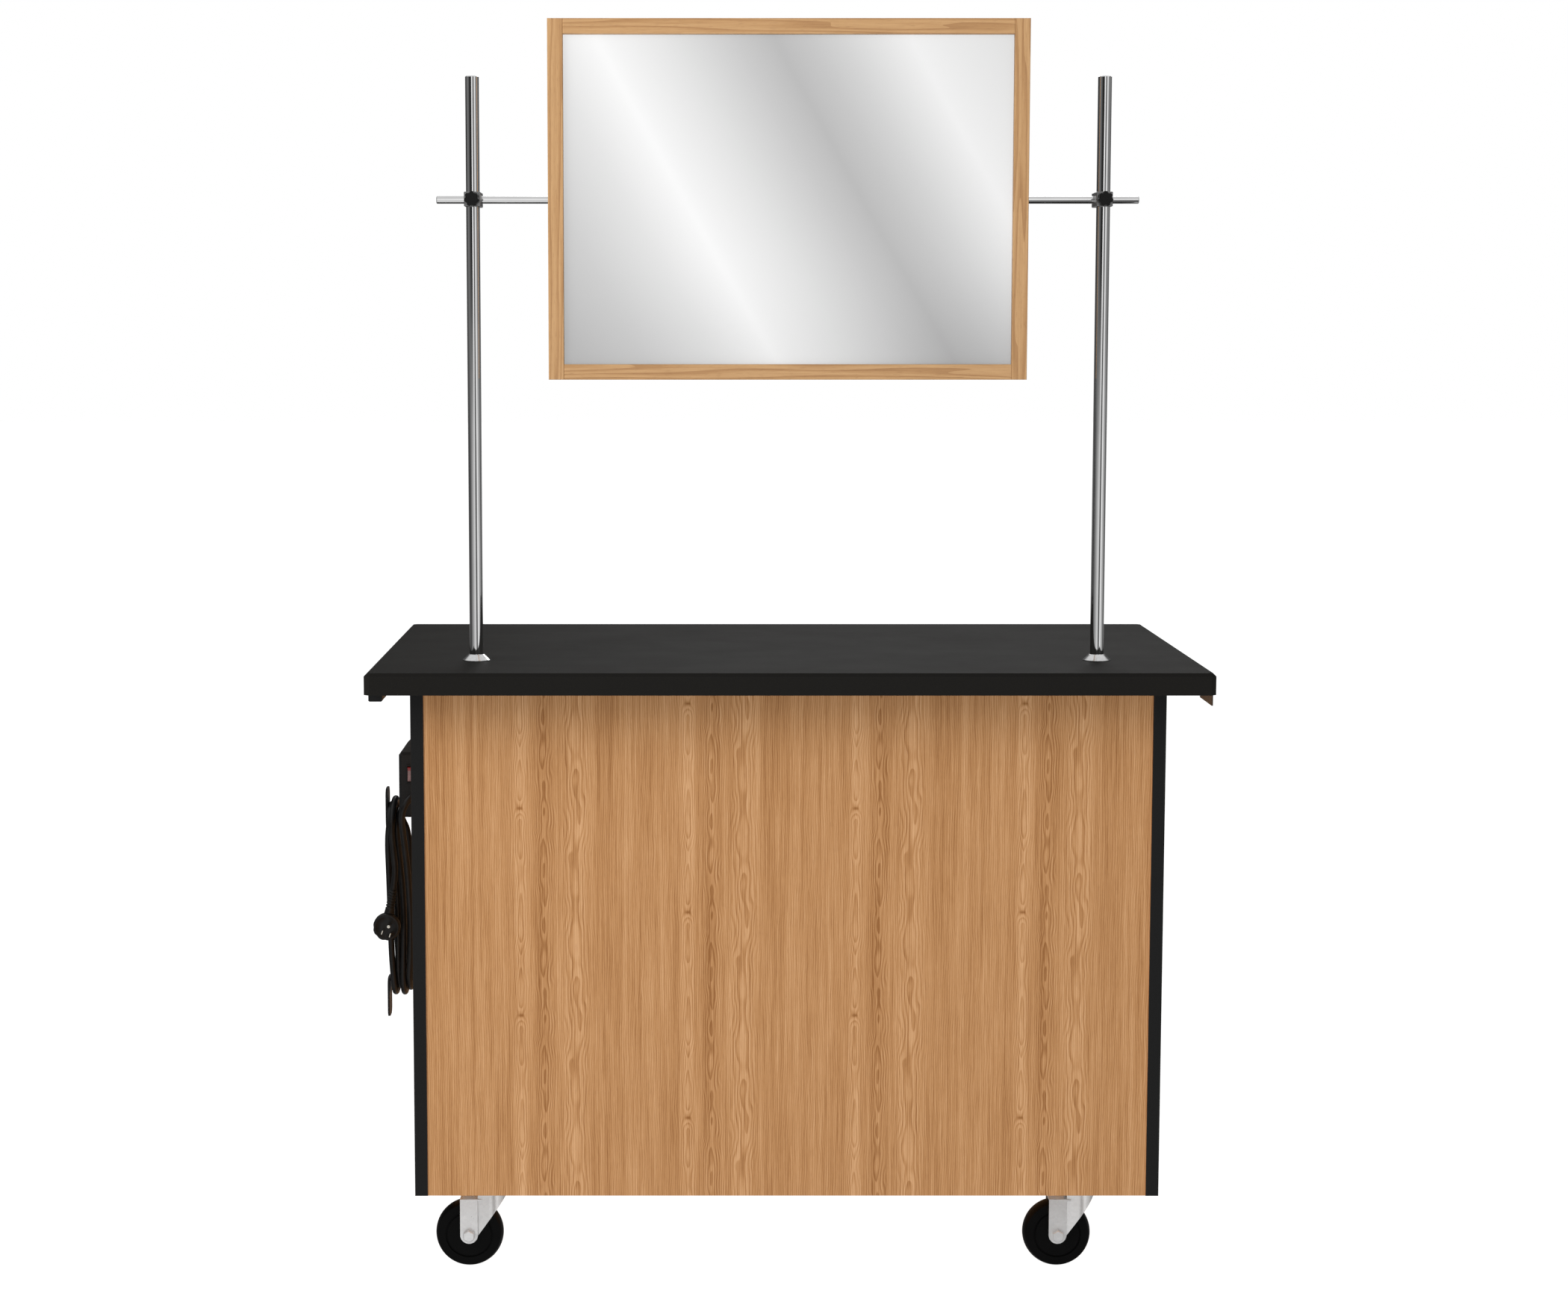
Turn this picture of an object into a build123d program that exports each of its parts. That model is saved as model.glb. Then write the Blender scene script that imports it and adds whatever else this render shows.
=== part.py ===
from build123d import *
import math
import os

# Mobile demonstration bench with an overhead tilting mirror.  Millimetres, +Z up, origin on the floor under
# the middle of the worktop.  The audience stands on the -Y side, the teacher on the +Y side.

# ---- driving dimensions ----------------------------------------------------------------------------------
TOP_W, TOP_D, TOP_T = 1219.2, 711.2, 31.75      # worktop width, depth, thickness
TOP_Z = 914.4                                   # height of the work surface
TOP_CHAMFER = 5.0                               # bevel round the upper edge of the worktop
CORNER_CHAMFER = 8.0                            # vertical bevel at each corner of the worktop
BODY_W, BODY_D, BODY_Z = 1101.0, 555.6, 126.0   # cabinet width, depth, height of its underside
BOARD = 19.0                                    # cabinet board thickness
FIT = 0.05                                      # radial running clearance
GAP = 0.4                                       # clearance between parts that pass each other

UPRIGHT_X, UPRIGHT_Y, UPRIGHT_R = 460.0, -186.0, 10.0
UPRIGHT_LENGTH, UPRIGHT_TOP_Z = 914.4, 1768.7
CROSS_Y, CROSS_Z, CROSS_R, CROSS_LENGTH = -166.0, 1591.3, 5.5, 1029.5
MIRROR_W, MIRROR_H, MIRROR_FACE, MIRROR_DEPTH = 700.0, 521.0, 22.5, 19.0
MIRROR_FRONT_Y, MIRROR_Z = -199.0, 1589.9

SWIVEL_X, SWIVEL_Y, TRAIL = 441.6, 208.0, 33.4  # caster swivel axes, and the wheel's offset behind each
WHEEL_R, WHEEL_W, AXLE_R = 50.8, 32.0, 5.0

CORD_R = 4.75
PANEL_X = -BODY_W / 2                           # outer face of the left side panel

UNDER_TOP = TOP_Z - TOP_T
BODY_H = UNDER_TOP - BODY_Z
INNER_X = BODY_W / 2 - BOARD
FRONT_Y, REAR_Y = -BODY_D / 2, BODY_D / 2

os.makedirs("parts", exist_ok=True)


def save(builder, name):
    """Label a finished piece and write it as parts/NAME.step."""
    part = builder.part if isinstance(builder, BuildPart) else builder
    part.label = name
    export_step(part, f"parts/{name}.step")


def block(x0, x1, y0, y1, z0, z1, mode=Mode.ADD):
    """A box between two corners, added to the current part."""
    middle = Location(((x0 + x1) / 2, (y0 + y1) / 2, (z0 + z1) / 2))
    with Locations(middle):
        Box(x1 - x0, y1 - y0, z1 - z0, mode=mode)


def rod_along(axis, centre, radius, length, mode=Mode.ADD):
    """A cylinder with its middle at centre, along X, Y or Z."""
    turn = {"X": (0, 90, 0), "Y": (90, 0, 0), "Z": (0, 0, 0)}[axis]
    with Locations(Location(centre, turn)):
        Cylinder(radius, length, mode=mode)


# ---- worktop and cabinet ---------------------------------------------------------------------------------
SOCKET_THREAD_R = 12.5

with BuildPart() as worktop:
    with BuildSketch(Plane.XY.offset(UNDER_TOP)):
        Rectangle(TOP_W, TOP_D)
    extrude(amount=TOP_T)
    chamfer(worktop.edges().filter_by(Axis.Z), CORNER_CHAMFER)
    chamfer(worktop.edges().group_by(Axis.Z)[-1], TOP_CHAMFER)
    for side in (-1, 1):
        rod_along("Z", (side * UPRIGHT_X, UPRIGHT_Y, TOP_Z), SOCKET_THREAD_R + FIT, 3 * TOP_T, Mode.SUBTRACT)
save(worktop, "worktop")

PIN_R, PIN_LENGTH = 3.0, 20.0
SHELF_Z, SHELF_FRONT_Y, SHELF_REAR_Y = 500.0, -250.0, 225.0
PIN_YS = (-200.0, 175.0)
PIN_Z = SHELF_Z - PIN_R - 0.1

for side, name in ((-1, "left_side_panel"), (1, "right_side_panel")):
    with BuildPart() as side_panel:
        inner, outer = sorted((side * INNER_X, side * BODY_W / 2))
        block(inner, outer, FRONT_Y, REAR_Y, BODY_Z, UNDER_TOP)
        for y in PIN_YS:
            rod_along("X", (side * INNER_X, y, PIN_Z), PIN_R + FIT, PIN_LENGTH, Mode.SUBTRACT)
    save(side_panel, name)

AUDIENCE_SETBACK = 1.5
PANEL_BACK_Y = FRONT_Y + AUDIENCE_SETBACK + BOARD
with BuildPart() as audience_panel:
    block(-INNER_X, INNER_X, FRONT_Y + AUDIENCE_SETBACK, PANEL_BACK_Y, BODY_Z, UNDER_TOP)
save(audience_panel, "audience_panel")

DOOR_INNER_Y = REAR_Y - BOARD
with BuildPart() as bottom_panel:
    block(-INNER_X, INNER_X, PANEL_BACK_Y, DOOR_INNER_Y - 2, BODY_Z, BODY_Z + BOARD)
save(bottom_panel, "bottom_panel")

FRONT_RAIL_D, REAR_RAIL_H = 45.0, 60.0
RAIL_REAR_Y = DOOR_INNER_Y - 2
with BuildPart() as top_rails:
    block(-INNER_X, INNER_X, PANEL_BACK_Y, PANEL_BACK_Y + FRONT_RAIL_D, UNDER_TOP - BOARD, UNDER_TOP)
    block(-INNER_X, INNER_X, RAIL_REAR_Y - BOARD, RAIL_REAR_Y, UNDER_TOP - REAR_RAIL_H, UNDER_TOP)
save(top_rails, "top_rails")

with BuildPart() as shelf:
    block(-INNER_X + 1.5, INNER_X - 1.5, SHELF_FRONT_Y, SHELF_REAR_Y, SHELF_Z, SHELF_Z + BOARD)
save(shelf, "shelf")

with BuildPart() as shelf_pins:
    for side in (-1, 1):
        for y in PIN_YS:
            rod_along("X", (side * INNER_X, y, PIN_Z), PIN_R, PIN_LENGTH - 1)
save(shelf_pins, "shelf_pins")

# ---- doors, hinges, pulls and lock -----------------------------------------------------------------------
DOOR_GAP = 3.0
DOOR_W = (2 * INNER_X - 3 * DOOR_GAP) / 2
DOOR_Z0, DOOR_Z1 = BODY_Z + DOOR_GAP, UNDER_TOP - DOOR_GAP
HINGE_ZS, HINGE_H, LEAF_T, LEAF_W = (229.0, 779.0), 64.0, 1.6, 30.0
FRAME_LEAF_W = 15.0
BARREL_R, HINGE_PIN_R, KNUCKLES = 4.2, 2.0, 5
HINGE_X, HINGE_Y = INNER_X - DOOR_GAP / 2, REAR_Y + BARREL_R + 0.2
LOCK_X, LOCK_Z, LOCK_R = 45.0, 806.0, 9.0
PULL_X, PULL_Z, PULL_SPAN, PULL_R, PULL_REACH = 30.0, 700.0, 96.0, 4.0, 32.0
KNUCKLE_H = (HINGE_H - (KNUCKLES - 1) * GAP) / KNUCKLES


def hinge_leaf(side, centre_z, on_door):
    """Half of a butt hinge: a flat leaf on the back of the cabinet with every other knuckle of its barrel."""
    axis_x = side * HINGE_X
    low, high = centre_z - HINGE_H / 2, centre_z + HINGE_H / 2
    with BuildPart() as leaf:
        for knuckle in range(KNUCKLES):
            if (knuckle % 2 == 1) != on_door:
                continue
            z0 = low + knuckle * (KNUCKLE_H + GAP)
            rod_along("Z", (axis_x, HINGE_Y, z0 + KNUCKLE_H / 2), BARREL_R, KNUCKLE_H)
            inward = -side if on_door else side
            a, b = sorted((axis_x, axis_x + inward * (BARREL_R + 2)))
            block(a, b, REAR_Y + 0.1, REAR_Y + 0.1 + LEAF_T, z0, z0 + KNUCKLE_H)
        start = BARREL_R + 0.5
        end = LEAF_W if on_door else FRAME_LEAF_W
        direction = -side if on_door else side
        a, b = sorted((axis_x + direction * start, axis_x + direction * end))
        block(a, b, REAR_Y + 0.1, REAR_Y + 0.1 + LEAF_T, low, high)
        rod_along("Z", (axis_x, HINGE_Y, centre_z), HINGE_PIN_R + FIT, 2 * HINGE_H, Mode.SUBTRACT)
    return leaf.part


save(Compound([hinge_leaf(s, z, False) for s in (-1, 1) for z in HINGE_ZS]), "hinge_frame_leaves")
for side, name in ((-1, "left_hinge_leaves"), (1, "right_hinge_leaves")):
    save(Compound([hinge_leaf(side, z, True) for z in HINGE_ZS]), name)

with BuildPart() as hinge_pins:
    for side in (-1, 1):
        for z in HINGE_ZS:
            rod_along("Z", (side * HINGE_X, HINGE_Y, z), HINGE_PIN_R, HINGE_H)
            with Locations((side * HINGE_X, HINGE_Y, z + HINGE_H / 2 + 1.5)):
                Cylinder(BARREL_R, 2)
            rod_along("Z", (side * HINGE_X, HINGE_Y, z + HINGE_H / 2 + 0.3), HINGE_PIN_R, 2)
save(hinge_pins, "hinge_pins")

for side, name in ((-1, "left_door"), (1, "right_door")):
    with BuildPart() as door:
        a, b = sorted((side * DOOR_GAP / 2, side * (DOOR_GAP / 2 + DOOR_W)))
        block(a, b, DOOR_INNER_Y, REAR_Y, DOOR_Z0, DOOR_Z1)
        if side == 1:
            rod_along("Y", (LOCK_X, REAR_Y, LOCK_Z), LOCK_R + FIT, 3 * BOARD, Mode.SUBTRACT)
    save(door, name)

for side, name in ((-1, "left_pull"), (1, "right_pull")):
    with BuildPart() as pull:
        foot_z = (PULL_Z - PULL_SPAN / 2, PULL_Z + PULL_SPAN / 2)
        reach_y = REAR_Y + PULL_REACH
        with BuildLine() as bar:
            FilletPolyline(
                (side * PULL_X, REAR_Y, foot_z[0]),
                (side * PULL_X, reach_y, foot_z[0]),
                (side * PULL_X, reach_y, foot_z[1]),
                (side * PULL_X, REAR_Y, foot_z[1]),
                radius=12,
            )
        with BuildSketch(Plane((side * PULL_X, REAR_Y, foot_z[0]), x_dir=(1, 0, 0), z_dir=(0, 1, 0))):
            Circle(PULL_R)
        sweep(path=bar.line)
    save(pull, name)

CAM_T, CAM_L = 2.5, 34.0
CAM_Y = RAIL_REAR_Y - BOARD - 1.0
with BuildPart() as door_lock:
    barrel_end = CAM_Y - CAM_T
    rod_along("Y", (LOCK_X, (REAR_Y + barrel_end) / 2, LOCK_Z), LOCK_R, REAR_Y - barrel_end)
    with Locations(Location((LOCK_X, REAR_Y + 1.5 + 0.3, LOCK_Z), (90, 0, 0))):
        Cylinder(LOCK_R + 2.5, 3.0)
    rod_along("Y", (LOCK_X, REAR_Y + 0.2, LOCK_Z), LOCK_R, 1)
    block(LOCK_X - 8, LOCK_X + 8, CAM_Y - CAM_T, CAM_Y, LOCK_Z - CAM_L, LOCK_Z)
    block(LOCK_X - 0.9, LOCK_X + 0.9, REAR_Y - 2, REAR_Y + 4, LOCK_Z - 5, LOCK_Z + 5, Mode.SUBTRACT)
save(door_lock, "door_lock")

# ---- rod sockets, uprights, clamps and cross rod ---------------------------------------------------------
FLANGE_R, FLANGE_NECK_R, FLANGE_H, FLANGE_RIM = 20.5, 11.6, 9.5, 1.2
SOCKET_FLOOR = 4.0
NUT_AF, NUT_T = 38.0, 10.0
ROD_BOTTOM_Z = UPRIGHT_TOP_Z - UPRIGHT_LENGTH

sockets, nuts = [], []
for side in (-1, 1):
    with BuildPart() as socket:
        with BuildSketch(Plane.XZ):
            with BuildLine():
                Polyline(
                    (0, ROD_BOTTOM_Z - SOCKET_FLOOR),
                    (SOCKET_THREAD_R, ROD_BOTTOM_Z - SOCKET_FLOOR),
                    (SOCKET_THREAD_R, TOP_Z),
                    (FLANGE_R, TOP_Z),
                    (FLANGE_R, TOP_Z + FLANGE_RIM),
                    (FLANGE_NECK_R, TOP_Z + FLANGE_H),
                    (UPRIGHT_R + FIT, TOP_Z + FLANGE_H),
                    (UPRIGHT_R + FIT, ROD_BOTTOM_Z),
                    (0, ROD_BOTTOM_Z),
                    close=True,
                )
            make_face()
        revolve(axis=Axis.Z)
    sockets.append(Location((side * UPRIGHT_X, UPRIGHT_Y, 0)) * socket.part)
    with BuildPart() as nut:
        with BuildSketch(Plane.XY.offset(UNDER_TOP - NUT_T)):
            RegularPolygon(NUT_AF / 2, 6, major_radius=False)
            Circle(SOCKET_THREAD_R + FIT, mode=Mode.SUBTRACT)
        extrude(amount=NUT_T)
    nuts.append(Location((side * UPRIGHT_X, UPRIGHT_Y, 0)) * nut.part)
save(Compound(sockets), "rod_sockets")
save(Compound(nuts), "socket_nuts")

with BuildPart() as uprights:
    with BuildSketch(Plane((0, UPRIGHT_Y, ROD_BOTTOM_Z))):
        with Locations((-UPRIGHT_X, 0), (UPRIGHT_X, 0)):
            Circle(UPRIGHT_R)
    extrude(amount=UPRIGHT_LENGTH)
    chamfer(uprights.edges().group_by(Axis.Z)[-1], 1.2)
    chamfer(uprights.edges().group_by(Axis.Z)[0], 1.2)
save(uprights, "uprights")

CLAMP_W, CLAMP_H, CLAMP_FRONT, CLAMP_BACK = 24.0, 21.5, -201.0, -150.0
SCREW_R = 3.0
GRUB_R = 2.5
clamps, grubs = [], []
for side in (-1, 1):
    x = side * UPRIGHT_X
    with BuildPart() as clamp:
        block(x - CLAMP_W / 2, x + CLAMP_W / 2, CLAMP_FRONT, CLAMP_BACK,
              CROSS_Z - CLAMP_H / 2, CROSS_Z + CLAMP_H / 2)
        chamfer(clamp.edges().filter_by(Axis.Y), 1.0)
        chamfer(clamp.faces().sort_by(Axis.Y)[0].edges(), 0.6)
        rod_along("Z", (x, UPRIGHT_Y, CROSS_Z), UPRIGHT_R + FIT, 3 * CLAMP_H, Mode.SUBTRACT)
        rod_along("X", (x, CROSS_Y, CROSS_Z), CROSS_R + FIT, 3 * CLAMP_W, Mode.SUBTRACT)
        rod_along("Y", (x, CLAMP_FRONT, CROSS_Z), SCREW_R + FIT, 20, Mode.SUBTRACT)
        rod_along("Y", (x, CLAMP_BACK, CROSS_Z), GRUB_R + FIT, 2 * (CROSS_R + 10), Mode.SUBTRACT)
    clamps.append(clamp.part)
    with BuildPart() as grub:
        tip = CROSS_Y + CROSS_R + 0.1
        rod_along("Y", (x, (tip + CLAMP_BACK - 1) / 2, CROSS_Z), GRUB_R, CLAMP_BACK - 1 - tip)
        with BuildSketch(Plane((x, CLAMP_BACK - 1, CROSS_Z), x_dir=(1, 0, 0), z_dir=(0, 1, 0))):
            RegularPolygon(1.25, 6, major_radius=False)
        extrude(amount=-3, mode=Mode.SUBTRACT)
    grubs.append(grub.part)
save(Compound(clamps), "rod_clamps")
save(Compound(grubs), "clamp_grub_screws")

KNOB_R, KNOB_T, KNOB_LOBES, LOBE_CUT_R = 11.0, 11.0, 7, 3.2
KNOB_BACK_Y = CLAMP_FRONT - 3.0
for side, name in ((-1, "left_thumbscrew"), (1, "right_thumbscrew")):
    x = side * UPRIGHT_X
    with BuildPart() as thumbscrew:
        with BuildSketch(Plane((x, KNOB_BACK_Y, CROSS_Z), x_dir=(1, 0, 0), z_dir=(0, -1, 0))):
            Circle(KNOB_R)
            with PolarLocations(KNOB_R + 1.4, KNOB_LOBES, start_angle=12):
                Circle(LOBE_CUT_R, mode=Mode.SUBTRACT)
        extrude(amount=KNOB_T)
        fillet(thumbscrew.faces().sort_by(Axis.Y)[0].edges(), 1.5)
        hub_end = CLAMP_FRONT - GAP
        rod_along("Y", (x, (KNOB_BACK_Y + hub_end) / 2, CROSS_Z), 6.0, hub_end - KNOB_BACK_Y)
        tip = UPRIGHT_Y - UPRIGHT_R - 0.2
        rod_along("Y", (x, (KNOB_BACK_Y + tip) / 2, CROSS_Z), SCREW_R, tip - KNOB_BACK_Y)
    save(thumbscrew, name)

with BuildPart() as cross_rod:
    rod_along("X", (0, CROSS_Y, CROSS_Z), CROSS_R, CROSS_LENGTH)
    chamfer(cross_rod.edges().filter_by(GeomType.CIRCLE), 0.8)
save(cross_rod, "cross_rod")

# ---- mirror ----------------------------------------------------------------------------------------------
RABBET, GLASS_T, BACKING_T, GLASS_SETBACK = 6.0, 4.0, 4.0, 7.0
MIRROR_BACK_Y = MIRROR_FRONT_Y + MIRROR_DEPTH
GLASS_Y = MIRROR_FRONT_Y + GLASS_SETBACK
GLASS_W, GLASS_H = MIRROR_W - 2 * (MIRROR_FACE - RABBET) - 1, MIRROR_H - 2 * (MIRROR_FACE - RABBET) - 1


def frame_member(x0, x1, z0, z1):
    """One square-edged frame member with a rabbet for the glass along its inner edge."""
    with BuildPart() as member:
        block(x0, x1, MIRROR_FRONT_Y, MIRROR_BACK_Y, MIRROR_Z + z0, MIRROR_Z + z1)
        fillet(member.faces().sort_by(Axis.Y)[0].edges(), 1.0)
        half_w, half_h = GLASS_W / 2 + 0.5, GLASS_H / 2 + 0.5
        block(-half_w, half_w, GLASS_Y, MIRROR_BACK_Y + 5, MIRROR_Z - half_h, MIRROR_Z + half_h,
              Mode.SUBTRACT)
    return member.part


half_w, half_h = MIRROR_W / 2, MIRROR_H / 2
stiles = [frame_member(a, b, -half_h, half_h)
          for a, b in ((-half_w, MIRROR_FACE - half_w), (half_w - MIRROR_FACE, half_w))]
rails = [frame_member(MIRROR_FACE - half_w, half_w - MIRROR_FACE, a, b)
         for a, b in ((-half_h, MIRROR_FACE - half_h), (half_h - MIRROR_FACE, half_h))]
save(Compound(stiles), "mirror_stiles")
save(Compound(rails), "mirror_rails")

with BuildPart() as mirror_glass:
    block(-GLASS_W / 2, GLASS_W / 2, GLASS_Y, GLASS_Y + GLASS_T,
          MIRROR_Z - GLASS_H / 2, MIRROR_Z + GLASS_H / 2)
save(mirror_glass, "mirror_glass")

with BuildPart() as mirror_backing:
    y0 = GLASS_Y + GLASS_T
    block(-GLASS_W / 2, GLASS_W / 2, y0, y0 + BACKING_T, MIRROR_Z - GLASS_H / 2, MIRROR_Z + GLASS_H / 2)
save(mirror_backing, "mirror_backing")

CLIP_W, CLIP_H, CLIP_R, CLIP_FOOT_H, CLIP_FOOT_T = 18.0, 20.0, 9.0, 56.0, 3.0
with BuildPart() as mirror_clips:
    for side in (-1, 1):
        x = side * (half_w - MIRROR_FACE / 2)
        block(x - CLIP_W / 2, x + CLIP_W / 2, MIRROR_BACK_Y, MIRROR_BACK_Y + CLIP_FOOT_T,
              CROSS_Z - CLIP_FOOT_H / 2, CROSS_Z + CLIP_FOOT_H / 2)
        block(x - CLIP_W / 2, x + CLIP_W / 2, MIRROR_BACK_Y, CROSS_Y, CROSS_Z - CLIP_R, CROSS_Z + CLIP_R)
        rod_along("X", (x, CROSS_Y, CROSS_Z), CLIP_R, CLIP_W)
        rod_along("X", (x, CROSS_Y, CROSS_Z), CROSS_R + FIT, 2 * CLIP_W, Mode.SUBTRACT)
        for z in (-20.0, 20.0):
            rod_along("Y", (x, MIRROR_BACK_Y + CLIP_FOOT_T, CROSS_Z + z), 3.5, 3.0)
save(mirror_clips, "mirror_clips")

# ---- casters ---------------------------------------------------------------------------------------------
PLATE_T, PLATE_X, PLATE_Y = 2.5, 92.0, 66.0
RACE_R, RACE_H = 28.0, 5.0
CAP_Z = BODY_Z - PLATE_T - RACE_H - GAP - 0.1   # top of the fork's cup
CAP_T, KINGPIN_R, KINGPIN_HEAD_R = 3.0, 6.0, 11.0
CUP_R, CUP_WALL, WEB_Y = 22.5, 2.5, 19.5        # cup radius, sheet thickness, half width where the webs start
STRIP_W, STRIP_OUT, STRIP_T, STRIP_TOP = 26.5, 21.5, 3.5, 105.8
BRIDGE_T = 2.5
BOLT_DX, BOLT_DY, BOLT_R = 37.0, 24.0, 4.0
CUT_LOW, CUT_HIGH = (-20.0, 49.5), (24.0, 112.0)  # the fork's slanting edge, from the swivel axis
HEX_AF, HEX_T = 16.0, 8.0

CASTERS = (("front_left", -1, -1), ("front_right", 1, -1), ("rear_left", -1, 1), ("rear_right", 1, 1))


def at_swivel(sx, sy):
    return Location((sx * SWIVEL_X, sy * SWIVEL_Y, 0))


def caster_plate():
    """Top plate with its ball race and kingpin; the kingpin's head holds the fork up."""
    with BuildPart() as plate:
        block(-PLATE_X / 2, PLATE_X / 2, -PLATE_Y / 2, PLATE_Y / 2, BODY_Z - PLATE_T, BODY_Z)
        fillet(plate.edges().filter_by(Axis.Z), 8)
        with BuildSketch(Plane.XY.offset(BODY_Z - PLATE_T - RACE_H)):
            Circle(RACE_R)
        extrude(amount=RACE_H)
        with BuildSketch(Plane.XY.offset(CAP_Z - CAP_T - GAP)):
            Circle(KINGPIN_R)
        extrude(amount=BODY_Z - CAP_Z + CAP_T + GAP)
        with BuildSketch(Plane.XY.offset(CAP_Z - CAP_T - GAP - 4)):
            Circle(KINGPIN_HEAD_R)
        extrude(amount=4)
        with Locations(*[(x, y, BODY_Z) for x in (-BOLT_DX, BOLT_DX) for y in (-BOLT_DY, BOLT_DY)]):
            Cylinder(BOLT_R + 0.2, 30, mode=Mode.SUBTRACT)
    return plate.part


def plate_bolts():
    """Four hex bolts, their heads under the plate and their shanks up in the bottom board."""
    bolts = []
    for x in (-BOLT_DX, BOLT_DX):
        for y in (-BOLT_DY, BOLT_DY):
            with BuildPart() as bolt:
                with BuildSketch(Plane((x, y, BODY_Z - PLATE_T - 4.5))):
                    RegularPolygon(6, 6, major_radius=False)
                extrude(amount=4.5)
                with BuildSketch(Plane((x, y, BODY_Z - PLATE_T))):
                    Circle(BOLT_R)
                extrude(amount=PLATE_T)
            bolts.append(bolt.part)
    return bolts


def fork():
    """Pressed steel fork: a round cup under the race, two slanting webs and two flat legs for the axle."""
    with BuildPart() as body:
        with BuildSketch():
            with BuildLine():
                reach = math.degrees(math.asin((CUP_R - WEB_Y) / abs(CUT_LOW[0])))
                start = PolarLocations(CUP_R, 1, start_angle=90 + reach).locations[0].position
                end = (start.X, -start.Y)
                Line((CUT_LOW[0], WEB_Y), (start.X, start.Y))
                ThreePointArc((start.X, start.Y), (CUP_R, 0), end)
                Line(end, (CUT_LOW[0], -WEB_Y))
                Line((CUT_LOW[0], -WEB_Y), (CUT_LOW[0], WEB_Y))
            make_face()
        extrude(amount=CAP_Z)
        with BuildSketch():
            Circle(CUP_R - CUP_WALL)
            with Locations((CUT_LOW[0] / 2 - 4, 0)):
                Rectangle(abs(CUT_LOW[0]) + 8, 2 * (WEB_Y - CUP_WALL))
        extrude(amount=CAP_Z - CAP_T, mode=Mode.SUBTRACT)
        # the slanting lower edge of the webs
        with BuildSketch(Plane.XZ):
            with BuildLine():
                Polyline(CUT_LOW, CUT_HIGH, (60, CUT_HIGH[1]), (60, -5), (CUT_LOW[0], -5), close=True)
            make_face()
        extrude(amount=60, both=True, mode=Mode.SUBTRACT)
        for face in (-1, 1):
            inner, outer = sorted((face * (STRIP_OUT - STRIP_T), face * STRIP_OUT))
            x0, x1 = -TRAIL - STRIP_W / 2, -TRAIL + STRIP_W / 2
            block(x0, x1, inner, outer, WHEEL_R, STRIP_TOP)
            rod_along("Y", (-TRAIL, (inner + outer) / 2, WHEEL_R), STRIP_W / 2, STRIP_T)
        block(-TRAIL - STRIP_W / 2, CUT_LOW[0] + 6, -STRIP_OUT, STRIP_OUT, STRIP_TOP - BRIDGE_T, STRIP_TOP)
        rod_along("Y", (-TRAIL, 0, WHEEL_R), AXLE_R + FIT, 80, Mode.SUBTRACT)
        with BuildSketch(Plane.XY.offset(CAP_Z - 2 * CAP_T)):
            Circle(KINGPIN_R + FIT)
        extrude(amount=4 * CAP_T, mode=Mode.SUBTRACT)
    return body.part


def axle():
    """Axle bolt with its hex head towards -Y and its nut on the other end."""
    with BuildPart() as bolt:
        rod_along("Y", (-TRAIL, 2, WHEEL_R), AXLE_R, 2 * STRIP_OUT + 12)
        with BuildSketch(Plane((-TRAIL, -STRIP_OUT, WHEEL_R), x_dir=(1, 0, 0), z_dir=(0, -1, 0))):
            RegularPolygon(HEX_AF / 2, 6, major_radius=False, rotation=30)
        extrude(amount=HEX_T)
        head_edges = bolt.faces().sort_by(Axis.Y)[0].edges()
        chamfer(head_edges, 1.0)
    with BuildPart() as nut:
        with BuildSketch(Plane((-TRAIL, STRIP_OUT, WHEEL_R), x_dir=(1, 0, 0), z_dir=(0, -1, 0))):
            RegularPolygon(HEX_AF / 2, 6, major_radius=False, rotation=30)
            Circle(AXLE_R + FIT, mode=Mode.SUBTRACT)
        extrude(amount=-6)
    return Compound([bolt.part, nut.part])


def wheel():
    """Solid wheel with a crowned tread, a groove round each face and a bored hub."""
    half = WHEEL_W / 2
    crown, groove_r, groove_w, groove_d = 4.0, 34.0, 3.4, 2.5
    with BuildPart() as body:
        with BuildSketch(Plane.XY):
            with BuildLine():
                Line((AXLE_R + FIT, -half), (WHEEL_R - crown, -half))
                ThreePointArc((WHEEL_R - crown, -half), (WHEEL_R, 0), (WHEEL_R - crown, half))
                Polyline((WHEEL_R - crown, half), (AXLE_R + FIT, half), (AXLE_R + FIT, -half))
            make_face()
            for face in (-1, 1):
                with Locations((groove_r, face * half)):
                    Rectangle(groove_w, 2 * groove_d, mode=Mode.SUBTRACT)
        revolve(axis=Axis.Y)
    return Location((-TRAIL, 0, WHEEL_R)) * body.part


plate_shape, fork_shape, axle_shape, wheel_shape = caster_plate(), fork(), axle(), wheel()
save(Compound([at_swivel(sx, sy) * plate_shape for _, sx, sy in CASTERS]), "caster_plates")
save(Compound([at_swivel(sx, sy) * bolt for _, sx, sy in CASTERS for bolt in plate_bolts()]), "caster_bolts")
for corner, sx, sy in CASTERS:
    for shape, name in ((fork_shape, "fork"), (axle_shape, "axle"), (wheel_shape, "wheel")):
        save(at_swivel(sx, sy) * shape, f"{corner}_{name}")

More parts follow.
